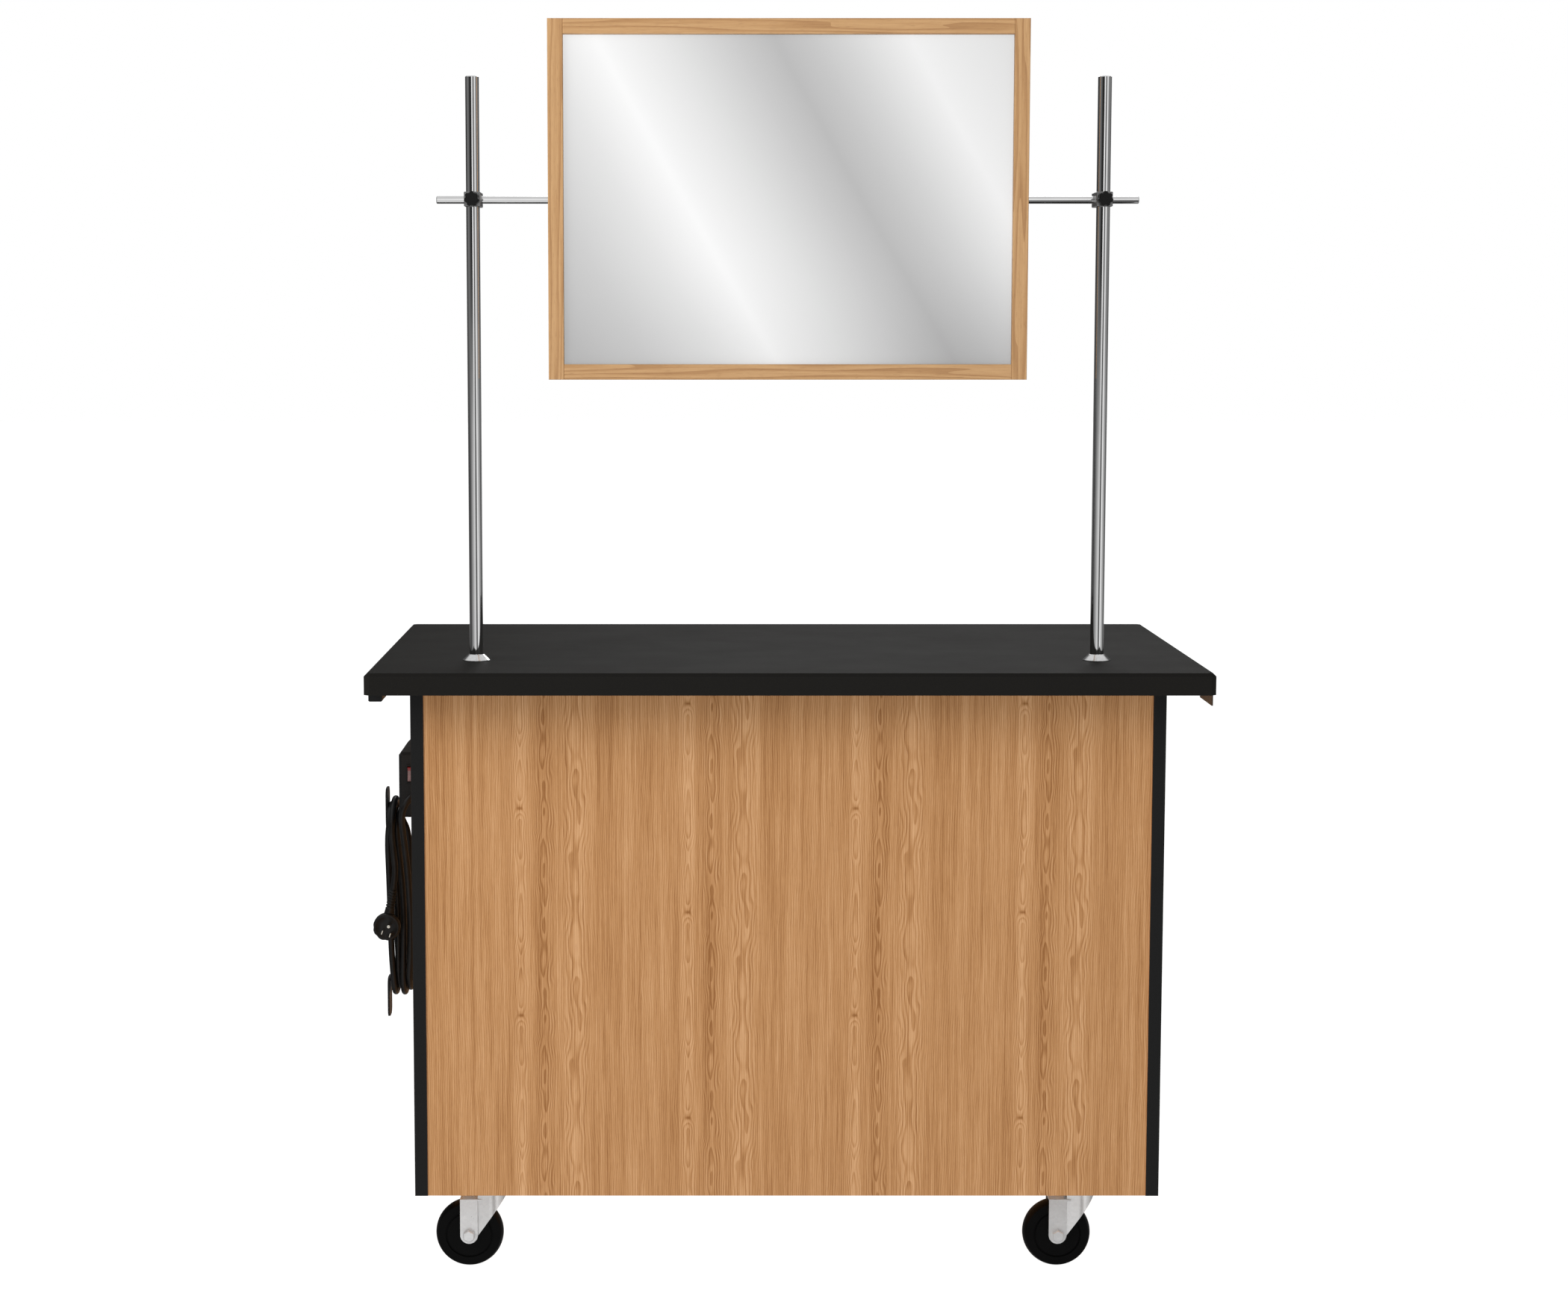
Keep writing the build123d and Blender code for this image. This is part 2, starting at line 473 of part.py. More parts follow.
# ---- power box on the left side panel --------------------------------------------------------------------
BOX_REACH, BOX_Y0, BOX_Y1, BOX_Z0, BOX_Z1, BOX_WALL = 38.0, -78.0, 72.0, 660.0, 760.4, 2.0
BOX_X = PANEL_X - BOX_REACH
SWITCH_X, SWITCH_Z, SWITCH_W, SWITCH_H = PANEL_X - 19.0, 727.2, 15.0, 30.0
GLAND_X, GLAND_Z, GLAND_R, GLAND_L = PANEL_X - 10.0, 700.0, 8.5, 9.0
OUTLET_Y = 3.0
COVER_Y, COVER_Z, COVER_T = 114.0, 70.0, 1.8
OUTLET_R, OUTLET_FLAT, OUTLET_PITCH = 17.3, 14.2, 38.6
BOX_MID_Z = (BOX_Z0 + BOX_Z1) / 2

with BuildPart() as power_box:
    block(BOX_X, PANEL_X, BOX_Y0, BOX_Y1, BOX_Z0, BOX_Z1)
    outer_edges = power_box.faces().sort_by(Axis.X)[0].edges() + power_box.faces().sort_by(Axis.Y)[0].edges()
    chamfer(ShapeList(set(outer_edges) - set(power_box.faces().sort_by(Axis.X)[-1].edges())), 4.0)
    block(BOX_X + BOX_WALL, PANEL_X + 5, BOX_Y0 + BOX_WALL + 2, BOX_Y1 - BOX_WALL, BOX_Z0 + BOX_WALL + 2,
          BOX_Z1 - BOX_WALL - 2, Mode.SUBTRACT)
    block(SWITCH_X - 6.6, SWITCH_X + 6.6, BOX_Y0 - 5, BOX_Y0 + 10, SWITCH_Z - 13.2, SWITCH_Z + 13.2,
          Mode.SUBTRACT)
    rod_along("Y", (GLAND_X, BOX_Y0, GLAND_Z), 6.0 + FIT, 20, Mode.SUBTRACT)
    block(BOX_X - 5, BOX_X + 10, OUTLET_Y - 36, OUTLET_Y + 36, BOX_MID_Z - 17, BOX_MID_Z + 17, Mode.SUBTRACT)
save(power_box, "power_box")


def outlet_faces(plane, radius, flat):
    """Two round outlet faces side by side, each cut flat towards the other and away from it."""
    with BuildSketch(plane) as faces:
        with Locations((-OUTLET_PITCH / 2, 0), (OUTLET_PITCH / 2, 0)):
            Rectangle(2 * flat, 2 * radius)
        with BuildSketch(mode=Mode.INTERSECT):
            with Locations((-OUTLET_PITCH / 2, 0), (OUTLET_PITCH / 2, 0)):
                Circle(radius)
    return faces.sketch


cover_plane = Plane((BOX_X, OUTLET_Y, BOX_MID_Z), x_dir=(0, 1, 0), z_dir=(-1, 0, 0))
with BuildPart() as outlet_cover:
    with BuildSketch(cover_plane):
        RectangleRounded(COVER_Y, COVER_Z, 3)
        add(outlet_faces(Plane.XY, OUTLET_R + 0.4, OUTLET_FLAT + 0.4), mode=Mode.SUBTRACT)
    extrude(amount=COVER_T)
    chamfer(outlet_cover.faces().sort_by(Axis.X)[0].outer_wire().edges(), 1.0)
    rod_along("X", (BOX_X - COVER_T, OUTLET_Y, BOX_MID_Z), 3.0, 1.0)
save(outlet_cover, "outlet_cover")

with BuildPart() as duplex_outlet:
    add(extrude(outlet_faces(cover_plane, OUTLET_R, OUTLET_FLAT), amount=COVER_T + 1.0, mode=Mode.PRIVATE))
    block(BOX_X, BOX_X + 24, OUTLET_Y - 35, OUTLET_Y + 35, BOX_MID_Z - 16, BOX_MID_Z + 16)
    for step in (-1, 1):
        y = OUTLET_Y + step * OUTLET_PITCH / 2
        face_x = BOX_X - COVER_T - 1.0
        for dy, height in ((-6.35, 8.0), (6.35, 6.6)):
            block(face_x - 1, face_x + 12, y + dy - 1.1, y + dy + 1.1, BOX_MID_Z + 2 - height / 2,
                  BOX_MID_Z + 2 + height / 2, Mode.SUBTRACT)
        rod_along("X", (face_x, y, BOX_MID_Z - 7), 2.6, 24, Mode.SUBTRACT)
save(duplex_outlet, "duplex_outlet")

ROCKER_W, ROCKER_H, ROCKER_PIVOT_R = 10.4, 23.4, 1.5
PIVOT_Y = BOX_Y0 + 6.0
with BuildPart() as switch_bezel:
    block(SWITCH_X - SWITCH_W / 2, SWITCH_X + SWITCH_W / 2, BOX_Y0 - 2.0, BOX_Y0,
          SWITCH_Z - SWITCH_H / 2, SWITCH_Z + SWITCH_H / 2)
    fillet(switch_bezel.edges().filter_by(Axis.Y), 1.5)
    chamfer(switch_bezel.faces().sort_by(Axis.Y)[0].edges(), 0.6)
    block(SWITCH_X - 6.5, SWITCH_X + 6.5, BOX_Y0, BOX_Y0 + 22, SWITCH_Z - 13.1, SWITCH_Z + 13.1)
    block(SWITCH_X - ROCKER_W / 2 - GAP, SWITCH_X + ROCKER_W / 2 + GAP, BOX_Y0 - 5, BOX_Y0 + 19,
          SWITCH_Z - ROCKER_H / 2 - 0.6, SWITCH_Z + ROCKER_H / 2 + 0.6, Mode.SUBTRACT)
    rod_along("X", (SWITCH_X, PIVOT_Y, SWITCH_Z), ROCKER_PIVOT_R + FIT, 20, Mode.SUBTRACT)
save(switch_bezel, "switch_bezel")

with BuildPart() as rocker:
    with BuildSketch(Plane.YZ.offset(SWITCH_X - ROCKER_W / 2)):
        with BuildLine():
            top, face, hollow = ROCKER_H / 2 - 0.7, BOX_Y0 - 3.4, BOX_Y0 - 1.6
            Line((PIVOT_Y + 3, SWITCH_Z - 7), (face + 0.9, SWITCH_Z - top))
            Line((face + 0.9, SWITCH_Z - top), (face, SWITCH_Z - top + 1.2))
            ThreePointArc((face, SWITCH_Z - top + 1.2), (hollow, SWITCH_Z), (face, SWITCH_Z + top - 1.2))
            Line((face, SWITCH_Z + top - 1.2), (face + 0.9, SWITCH_Z + top))
            Line((face + 0.9, SWITCH_Z + top), (PIVOT_Y + 3, SWITCH_Z + 7))
            Line((PIVOT_Y + 3, SWITCH_Z + 7), (PIVOT_Y + 3, SWITCH_Z - 7))
        make_face()
    extrude(amount=ROCKER_W)
    rod_along("X", (SWITCH_X, PIVOT_Y, SWITCH_Z), ROCKER_PIVOT_R, 12.8)
save(rocker, "rocker")

with BuildPart() as cord_gland:
    rod_along("Y", (GLAND_X, BOX_Y0 + 5, GLAND_Z), 6.0, 10)
    rod_along("Y", (GLAND_X, BOX_Y0 - 1.5, GLAND_Z), GLAND_R, 3)
    with BuildSketch(Plane((GLAND_X, BOX_Y0 - 3, GLAND_Z), x_dir=(1, 0, 0), z_dir=(0, -1, 0))):
        Circle(GLAND_R - 1.5)
    extrude(amount=GLAND_L - 3, taper=12)
    rod_along("Y", (GLAND_X, BOX_Y0 + 8, GLAND_Z), CORD_R, 4, Mode.SUBTRACT)
save(cord_gland, "cord_gland")

# ---- cord cleats -----------------------------------------------------------------------------------------
CLEAT_Y0, CLEAT_Y1, CLEAT_T, LIP_X = -30.0, 10.0, 3.0, -614.5
LIP_Z = (634.0, 336.4)                          # lower end of each cleat's end plate
ARM_Z = (652.0, 393.0)                          # underside of each cleat's arm
LIP_H, LIP_CORNER, FOOT_H, ARM_W = 62.5, 12.0, 50.0, 24.0
CLEAT_Y = (CLEAT_Y0 + CLEAT_Y1) / 2


def cleat(lip_z, arm_z, foot):
    """A moulded cleat: a foot on the panel, an arm, and an end plate that keeps the cord on."""
    foot0, foot1 = sorted((arm_z, arm_z + foot * FOOT_H))
    with BuildPart() as body:
        block(LIP_X, LIP_X + CLEAT_T, CLEAT_Y0, CLEAT_Y1, lip_z, lip_z + LIP_H)
        fillet(body.edges().filter_by(Axis.X), LIP_CORNER)
        with BuildSketch(Plane.YZ.offset(LIP_X + CLEAT_T)):
            with Locations((CLEAT_Y, arm_z + CLEAT_T / 2)):
                RectangleRounded(ARM_W, CLEAT_T, 1.4)
        extrude(amount=PANEL_X - LIP_X - CLEAT_T)
        block(PANEL_X - CLEAT_T, PANEL_X, CLEAT_Y0, CLEAT_Y1, foot0, foot1)
    return body.part


save(Compound([cleat(LIP_Z[0], ARM_Z[0], -1), cleat(LIP_Z[1], ARM_Z[1], 1)]), "cord_cleats")
with BuildPart() as cleat_screws:
    for z in (ARM_Z[0] - 36, ARM_Z[1] + 36):
        for y in (CLEAT_Y0 + 11, CLEAT_Y1 - 11):
            rod_along("X", (PANEL_X - CLEAT_T - 1.25, y, z), 3.8, 2.5)
save(cleat_screws, "cleat_screws")

# ---- mains cord: lead, wound hank, tail and plug ---------------------------------------------------------
HANK_X0, HANK_X1, HANK_Y0, HANK_Y1 = -610.8, -556.0, -54.0, 34.0
HANK_Z0, HANK_Z1 = 369.4, 683.4
HOLE_Y0, HOLE_Y1, HOLE_Z0, HOLE_Z1 = -38.0, 18.0, 380.0, 655.5
HANK_NECK_X = -591.2                            # the turns crowd outwards past the power box at the top

with BuildPart() as cord_hank:
    with BuildSketch(Plane.YZ.offset(HANK_X0)):
        with Locations(((HANK_Y0 + HANK_Y1) / 2, (HANK_Z0 + HANK_Z1) / 2)):
            RectangleRounded(HANK_Y1 - HANK_Y0, HANK_Z1 - HANK_Z0, 43.5)
    extrude(amount=HANK_X1 - HANK_X0)
    # the hole is flat over the upper cleat's arm and round at the bottom, where the turns hang free
    with BuildSketch(Plane.YZ.offset(HANK_X0)) as hole:
        with Locations(((HOLE_Y0 + HOLE_Y1) / 2, (HOLE_Z0 + HOLE_Z1) / 2)):
            Rectangle(HOLE_Y1 - HOLE_Y0, HOLE_Z1 - HOLE_Z0)
        fillet(hole.vertices().group_by(Axis.Y)[-1], 5.0)
        fillet(hole.vertices().group_by(Axis.Y)[0], 24.0)
    extrude(amount=HANK_X1 - HANK_X0, mode=Mode.SUBTRACT)
    fillet(cord_hank.faces().filter_by(Axis.X).edges(), 4.0)
    with BuildSketch(Plane.XZ):
        with BuildLine():
            Polyline((HANK_NECK_X, 700), (HANK_NECK_X, 652), (-583, 626), (HANK_X1, 470), (HANK_X1 + 20, 470),
                     (HANK_X1 + 20, 700), close=True)
        make_face()
    extrude(amount=200, both=True, mode=Mode.SUBTRACT)
save(cord_hank, "cord_hank")


def cord_run(name, points):
    """A plain tube through the points, with an arc at each corner as large as its two runs allow."""
    points = [Vector(*p) for p in points]
    radii = []
    for before, corner, after in zip(points, points[1:], points[2:]):
        arriving, leaving = corner - before, after - corner
        turn = math.radians(arriving.get_angle(leaving))
        radii.append(0.45 * min(arriving.length, leaving.length) / math.tan(turn / 2))
    with BuildPart() as tube:
        with BuildLine() as route:
            FilletPolyline(*points, radius=radii)
        with BuildSketch(Plane(points[0], z_dir=points[1] - points[0])):
            Circle(CORD_R)
        path = route.wire()
        sweep(path=path)
    length = path.length
    print(name, "length", round(length, 1), "radii", [round(r, 1) for r in radii],
          "volume ratio", round(tube.part.volume / (math.pi * CORD_R ** 2 * length), 4))
    save(tube, name)


LEAD_ROUTE = [
    (GLAND_X, BOX_Y0 - GLAND_L, GLAND_Z),
    (-562.0, -101.0, 699.5),
    (-567.5, -112.5, 695.5),
    (-574.8, -119.5, 687.0),
    (-579.8, -120.5, 674.5),
    (-581.0, -115.5, 659.0),
    (-580.0, -107.0, 640.0),
    (-578.0, -95.5, 613.0),
    (-576.0, -82.0, 575.0),
    (-575.0, -69.0, 530.0),
    (-574.5, -58.0, 488.0),
]
cord_run("cord_lead", LEAD_ROUTE)

PLUG_X, PLUG_Y, PLUG_Z, PLUG_R, PLUG_T = -609.5, -75.0, 490.0, 21.0, 19.0
RELIEF_L = 38.0
RELIEF_LEAN = 9.5                               # degrees that the strain relief leans from vertical
lean = math.radians(RELIEF_LEAN)
RELIEF_DIR = Vector(math.sin(lean), 0.12, math.cos(lean)).normalized()
PLUG_CENTRE = Vector(PLUG_X, PLUG_Y, PLUG_Z)
RELIEF_START = PLUG_CENTRE + RELIEF_DIR * (PLUG_R - 2)
RELIEF_END = RELIEF_START + RELIEF_DIR * RELIEF_L
RELIEF_MID = RELIEF_END + RELIEF_DIR * 26

TAIL_ROUTE = [
    tuple(RELIEF_END),
    tuple(RELIEF_MID),
    (-599.8, -60.0, 606.0),
    (-602.6, -54.0, 636.0),
    (-603.4, -46.0, 660.0),
    (-602.5, -36.0, 676.0),
]
cord_run("cord_tail", TAIL_ROUTE)

with BuildPart() as plug_strain_relief:
    with BuildSketch(Plane(RELIEF_START, z_dir=RELIEF_DIR)):
        Circle(8.5)
    with BuildSketch(Plane(RELIEF_END, z_dir=RELIEF_DIR)):
        Circle(CORD_R + 1.0)
    loft()
save(plug_strain_relief, "plug_strain_relief")

with BuildPart() as plug_body:
    with BuildSketch(Plane((PLUG_X, PLUG_Y + PLUG_T / 2, PLUG_Z), x_dir=(1, 0, 0), z_dir=(0, -1, 0))):
        Circle(PLUG_R)
        with PolarLocations(PLUG_R + 0.8, 3, start_angle=180, angular_range=180):
            Circle(2.2, mode=Mode.SUBTRACT)
    extrude(amount=PLUG_T)
    chamfer(plug_body.faces().sort_by(Axis.Y)[0].edges(), 1.0)
save(plug_body, "plug_body")

PRONG_L, PRONG_TURN, PRONG_SHIFT = 16.0, 20.0, (3.0, -1.0)   # length, turn and offset of the three prongs
BLADE_PITCH, BLADE_T, BLADE_W, GROUND_R, GROUND_REACH = 12.7, 1.5, 6.3, 2.4, 11.9
prong_lean = math.radians(PRONG_TURN)
prong_plane = Plane((PLUG_X + PRONG_SHIFT[0], PLUG_Y - PLUG_T / 2, PLUG_Z + PRONG_SHIFT[1]),
                    x_dir=(math.cos(prong_lean), 0, -math.sin(prong_lean)), z_dir=(0, -1, 0))
with BuildPart() as plug_prongs:
    with BuildSketch(prong_plane):
        with Locations((-BLADE_PITCH / 2, -GROUND_REACH / 2), (BLADE_PITCH / 2, -GROUND_REACH / 2)):
            Rectangle(BLADE_T, BLADE_W)
        with Locations((0, GROUND_REACH / 2)):
            Circle(GROUND_R)
    extrude(amount=PRONG_L)
save(plug_prongs, "plug_prongs")

# ---- small pieces under the ends of the worktop ----------------------------------------------------------
with BuildPart() as left_end_block:
    block(-TOP_W / 2 + 1, -TOP_W / 2 + 21, -300, -200, UNDER_TOP - 16, UNDER_TOP)
    chamfer(left_end_block.faces().sort_by(Axis.Z)[0].edges(), 1.5)
save(left_end_block, "left_end_block")

with BuildPart() as right_end_plate:
    block(TOP_W / 2 - 2.2, TOP_W / 2 - 0.2, -325, -226, UNDER_TOP - 18.5, UNDER_TOP)
save(right_end_plate, "right_end_plate")
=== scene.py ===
"""The mobile demonstration bench's looks: materials, the wound mains cord and plug, studio and camera."""

import math

import bmesh
import bpy
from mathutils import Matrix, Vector


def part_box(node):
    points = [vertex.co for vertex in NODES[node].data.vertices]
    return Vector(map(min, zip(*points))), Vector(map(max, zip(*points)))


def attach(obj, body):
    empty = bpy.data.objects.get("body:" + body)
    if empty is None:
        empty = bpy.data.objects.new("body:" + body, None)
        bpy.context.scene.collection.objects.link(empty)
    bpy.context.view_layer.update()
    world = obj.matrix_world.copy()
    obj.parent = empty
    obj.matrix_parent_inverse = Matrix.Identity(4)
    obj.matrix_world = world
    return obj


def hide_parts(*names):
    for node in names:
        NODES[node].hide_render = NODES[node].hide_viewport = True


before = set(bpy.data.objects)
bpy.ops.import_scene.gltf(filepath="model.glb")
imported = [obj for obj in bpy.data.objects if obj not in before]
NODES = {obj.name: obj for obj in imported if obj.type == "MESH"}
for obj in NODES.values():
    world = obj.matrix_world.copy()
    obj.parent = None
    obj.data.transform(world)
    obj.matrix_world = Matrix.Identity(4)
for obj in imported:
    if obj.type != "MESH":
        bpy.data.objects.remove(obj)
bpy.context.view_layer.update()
SCENE = bpy.context.scene


# ---- node trees ----------------------------------------------------------------------------------------

def tone(red, green, blue):
    """A display colour, 0 to 255 a channel, as the linear colour that a shader takes."""
    channels = (c / 255 for c in (red, green, blue))
    return tuple(c / 12.92 if c <= 0.04045 else ((c + 0.055) / 1.055) ** 2.4 for c in channels) + (1.0,)


def grey(level):
    return tone(level, level, level)


class Graph:
    """The node tree of a new material or world, with short calls for the nodes that are used here."""

    def __init__(self, owner):
        self.owner = owner
        owner.use_nodes = True
        self.tree = owner.node_tree
        self.shader = self.tree.nodes.get("Principled BSDF")

    def set(self, **sockets):
        """Sets or links the shader's sockets; an underscore stands for a space."""
        for name, value in sockets.items():
            self.put(self.shader.inputs[name.replace("_", " ")], value)
        return self.owner

    def put(self, socket, value):
        if isinstance(value, bpy.types.NodeSocket):
            self.tree.links.new(value, socket)
        else:
            socket.default_value = value

    def add(self, kind, *values, **settings):
        made = self.tree.nodes.new("ShaderNode" + kind)
        for name, value in settings.items():
            setattr(made, name, value)
        for socket, value in zip(made.inputs, values):
            if value is not None:
                self.put(socket, value)
        return made

    def coordinates(self, output="Object"):
        return self.add("TexCoord").outputs[output]

    def axes(self, vector):
        return self.add("SeparateXYZ", vector).outputs

    def point(self, x=0.0, y=0.0, z=0.0):
        return self.add("CombineXYZ", x, y, z).outputs[0]

    def stretch(self, vector, scale):
        return self.add("VectorMath", vector, scale, operation="MULTIPLY").outputs[0]

    def math(self, operation, *values):
        return self.add("Math", *values, operation=operation).outputs[0]

    def spread(self, value, low, high, to_low=0.0, to_high=1.0):
        """value from low to high as a smooth step from to_low to to_high."""
        made = self.add("MapRange", value, low, high, to_low, to_high, interpolation_type="SMOOTHSTEP")
        return made.outputs[0]

    def noise(self, vector, scale, detail=2.0, roughness=0.5, distortion=0.0):
        made = self.add("TexNoise")
        for name, value in (("Vector", vector), ("Scale", scale), ("Detail", detail),
                            ("Roughness", roughness), ("Distortion", distortion)):
            self.put(made.inputs[name], value)
        return made.outputs["Fac"]

    def mix(self, factor, first, second):
        made = self.add("Mix", data_type="RGBA")
        for index, value in ((0, factor), (6, first), (7, second)):
            self.put(made.inputs[index], value)
        return made.outputs[2]

    def ramp(self, value, *stops):
        """A colour ramp through (position, colour) stops."""
        made = self.add("ValToRGB", value)
        elements = made.color_ramp.elements
        while len(elements) < len(stops):
            elements.new(0.5)
        for element, (position, colour) in zip(elements, stops):
            element.position = position
            element.color = colour
        return made.outputs[0]

    def bump(self, height, depth, normal=None):
        """Surface relief of that depth in metres."""
        made = self.add("Bump")
        self.put(made.inputs["Height"], height)
        self.put(made.inputs["Distance"], depth)
        if normal is not None:
            self.put(made.inputs["Normal"], normal)
        return made.outputs[0]

    def soft_edges(self, radius):
        """The normal with edges rounded by radius, and a mask that is 1 on those edges."""
        rounded = self.add("Bevel", radius, samples=4).outputs[0]
        flat = self.add("NewGeometry").outputs["Normal"]
        facing = self.add("VectorMath", rounded, flat, operation="DOT_PRODUCT").outputs["Value"]
        return rounded, self.spread(facing, 0.999, 0.9)


# ---- wood ----------------------------------------------------------------------------------------------

OAK_LIGHT, OAK_MID, OAK_DARK = tone(218, 170, 124), tone(190, 139, 90), tone(150, 99, 53)
OAK_PORE = tone(140, 92, 56)
OAK_COLUMN, OAK_REPEAT = 0.2455, 0.3085         # the print repeats each column half a repeat lower
KNOT_AT, KNOT_SIZE = (0.0685, 0.244), (0.0040, 0.0022)
# the figures of a column: centre across, half width, rings per metre, sway of the rings
BUMPY_STREAK = (0.0685, 0.013, 330.0, 0.016)
DENSE_OVALS = (0.104, 0.019, 400.0, 0.020)
PALE_OVALS = (0.150, 0.024, 215.0, 0.026)
DARK_BAND_AT = 0.200
STRAIGHT_RINGS, STRAIGHT_SWAY = 300.0, 0.010    # the fine grain lines between the figures


def blot(g, u, v, centre, size):
    """A soft spot, 1 at its centre."""
    across = g.math("DIVIDE", g.math("SUBTRACT", u, centre[0]), size[0])
    along = g.math("DIVIDE", g.math("SUBTRACT", v, centre[1]), size[1])
    far = g.math("MULTIPLY_ADD", across, across, g.math("MULTIPLY", along, along))
    return g.math("EXPONENT", g.math("MULTIPLY", far, -1.0))


def figure(g, u, waver, centre, half_width, rings_per_m, sway):
    """Nested ovals and arches of growth rings. Returns their lines, and a mask of where they are."""
    aside = g.math("SUBTRACT", u, centre)
    crest = g.math("SQRT", g.math("MULTIPLY_ADD", aside, aside, (0.3 * half_width) ** 2))
    rings = g.math("FRACT", g.math("MULTIPLY", g.math("MULTIPLY_ADD", waver, sway, crest), rings_per_m))
    lines = g.math("MULTIPLY", g.spread(rings, 0.25, 0.85), g.spread(rings, 1.0, 0.90))
    mask = g.spread(g.math("ABSOLUTE", aside), half_width, 0.45 * half_width)
    return lines, mask


def oak_print(g, across, along):
    """Flat-sawn oak as printed on laminate: arches, knots, streaks and pores. Returns colour and height."""
    column = g.math("FLOOR", g.math("DIVIDE", across, OAK_COLUMN))
    u = g.math("FLOORED_MODULO", across, OAK_COLUMN)
    v = g.math("FLOORED_MODULO", g.math("MULTIPLY_ADD", column, OAK_REPEAT / 2, along), OAK_REPEAT)
    # the noise runs round a circle, which brings it back to where it began after one repeat
    around = g.math("MULTIPLY", v, 2 * math.pi / OAK_REPEAT)
    circle = [g.math("MULTIPLY", g.math(function, around), 0.62) for function in ("SINE", "COSINE")]
    waver = g.noise(g.point(g.math("MULTIPLY", u, 30.0), *circle), 1.0, detail=1.5)
    knot = blot(g, u, v, KNOT_AT, KNOT_SIZE)
    halo = blot(g, u, v, KNOT_AT, (0.009, 0.012))
    waver = g.math("MULTIPLY_ADD", halo, 0.35, waver)
    bumps, bumps_at = figure(g, u, waver, *BUMPY_STREAK)
    dense, dense_at = figure(g, u, waver, *DENSE_OVALS)
    pale, pale_at = figure(g, u, waver, *PALE_OVALS)
    # broad bands of tone across the board, streaks and pores along it
    fine = g.noise(g.point(across, 0.0, g.math("MULTIPLY", along, 0.016)), 620.0, detail=4.0, roughness=0.9)
    medium = g.noise(g.point(across, 0.4, g.math("MULTIPLY", along, 0.020)), 170.0, detail=2.0, roughness=0.6)
    bands = g.point(g.math("MULTIPLY", u, 34.0), 0.0, g.math("MULTIPLY", along, 1.2))
    bands = g.noise(bands, 1.0, detail=2.0)
    pore = g.noise(g.point(across, 0.0, g.math("MULTIPLY", along, 0.05)), 1100.0, detail=1.0)
    pore = g.spread(pore, 0.60, 0.74)
    shade = g.math("MULTIPLY_ADD", fine, 0.66, g.math("MULTIPLY", medium, 0.34))
    shade = g.math("MULTIPLY_ADD", bands, 0.20, shade)
    swayed = g.math("MULTIPLY_ADD", waver, STRAIGHT_SWAY, u)
    straight = g.math("FRACT", g.math("MULTIPLY", swayed, STRAIGHT_RINGS))
    straight = g.math("MULTIPLY", g.spread(straight, 0.2, 0.85), g.spread(straight, 1.0, 0.9))
    shade = g.math("MULTIPLY_ADD", straight, 0.09, shade)
    for lines, mask, line_depth, ground in ((bumps, bumps_at, 0.13, -0.11), (dense, dense_at, 0.15, -0.01),
                                            (pale, pale_at, 0.15, -0.07)):
        marks = g.math("MULTIPLY_ADD", lines, line_depth, ground)
        shade = g.math("MULTIPLY_ADD", marks, mask, shade)
    dark_band = g.spread(g.math("ABSOLUTE", g.math("SUBTRACT", u, DARK_BAND_AT)), 0.030, 0.010)
    shade = g.math("MULTIPLY_ADD", dark_band, 0.045, shade)
    shade = g.math("MULTIPLY_ADD", knot, 0.22, shade)
    colour = g.ramp(shade, (0.44, OAK_LIGHT), (0.645, OAK_MID), (0.84, OAK_DARK))
    colour = g.mix(g.math("MULTIPLY", pore, 0.22), colour, OAK_PORE)
    relief = g.math("MULTIPLY_ADD", pore, -0.7, g.math("MULTIPLY", fine, 0.5))
    return colour, relief


def wood(name, grain, black_faces=()):
    """Oak laminate with its grain along Z or X. Faces that look along black_faces have black edge banding."""
    g = Graph(bpy.data.materials.new(name))
    x, y, z = g.axes(g.coordinates())
    across, along = (g.math("ADD", x, y), z) if grain == "Z" else (g.math("ADD", y, z), x)
    colour, relief = oak_print(g, across, along)
    rough = g.math("MULTIPLY_ADD", relief, -0.08, 0.46)
    if black_faces:
        facing = g.axes(g.coordinates("Normal"))
        sides = [g.math("ABSOLUTE", facing["XYZ".index(axis)]) for axis in black_faces]
        banding = g.math("GREATER_THAN", sides[0] if len(sides) == 1 else g.math("MAXIMUM", *sides), 0.6)
        speck = g.noise(g.coordinates(), 900.0, detail=2.0)
        band = g.ramp(speck, (0.3, grey(20)), (0.7, grey(26)))
        colour = g.mix(banding, colour, band)
        rough = g.math("MULTIPLY_ADD", banding, 0.06, rough)
    rounded, edge = g.soft_edges(0.0007)
    colour = g.mix(g.math("MULTIPLY", edge, 0.25), colour, tone(120, 90, 64))
    return g.set(Base_Color=colour, Roughness=rough, Specular_IOR_Level=0.20,
                 Normal=g.bump(relief, 0.00006, rounded))


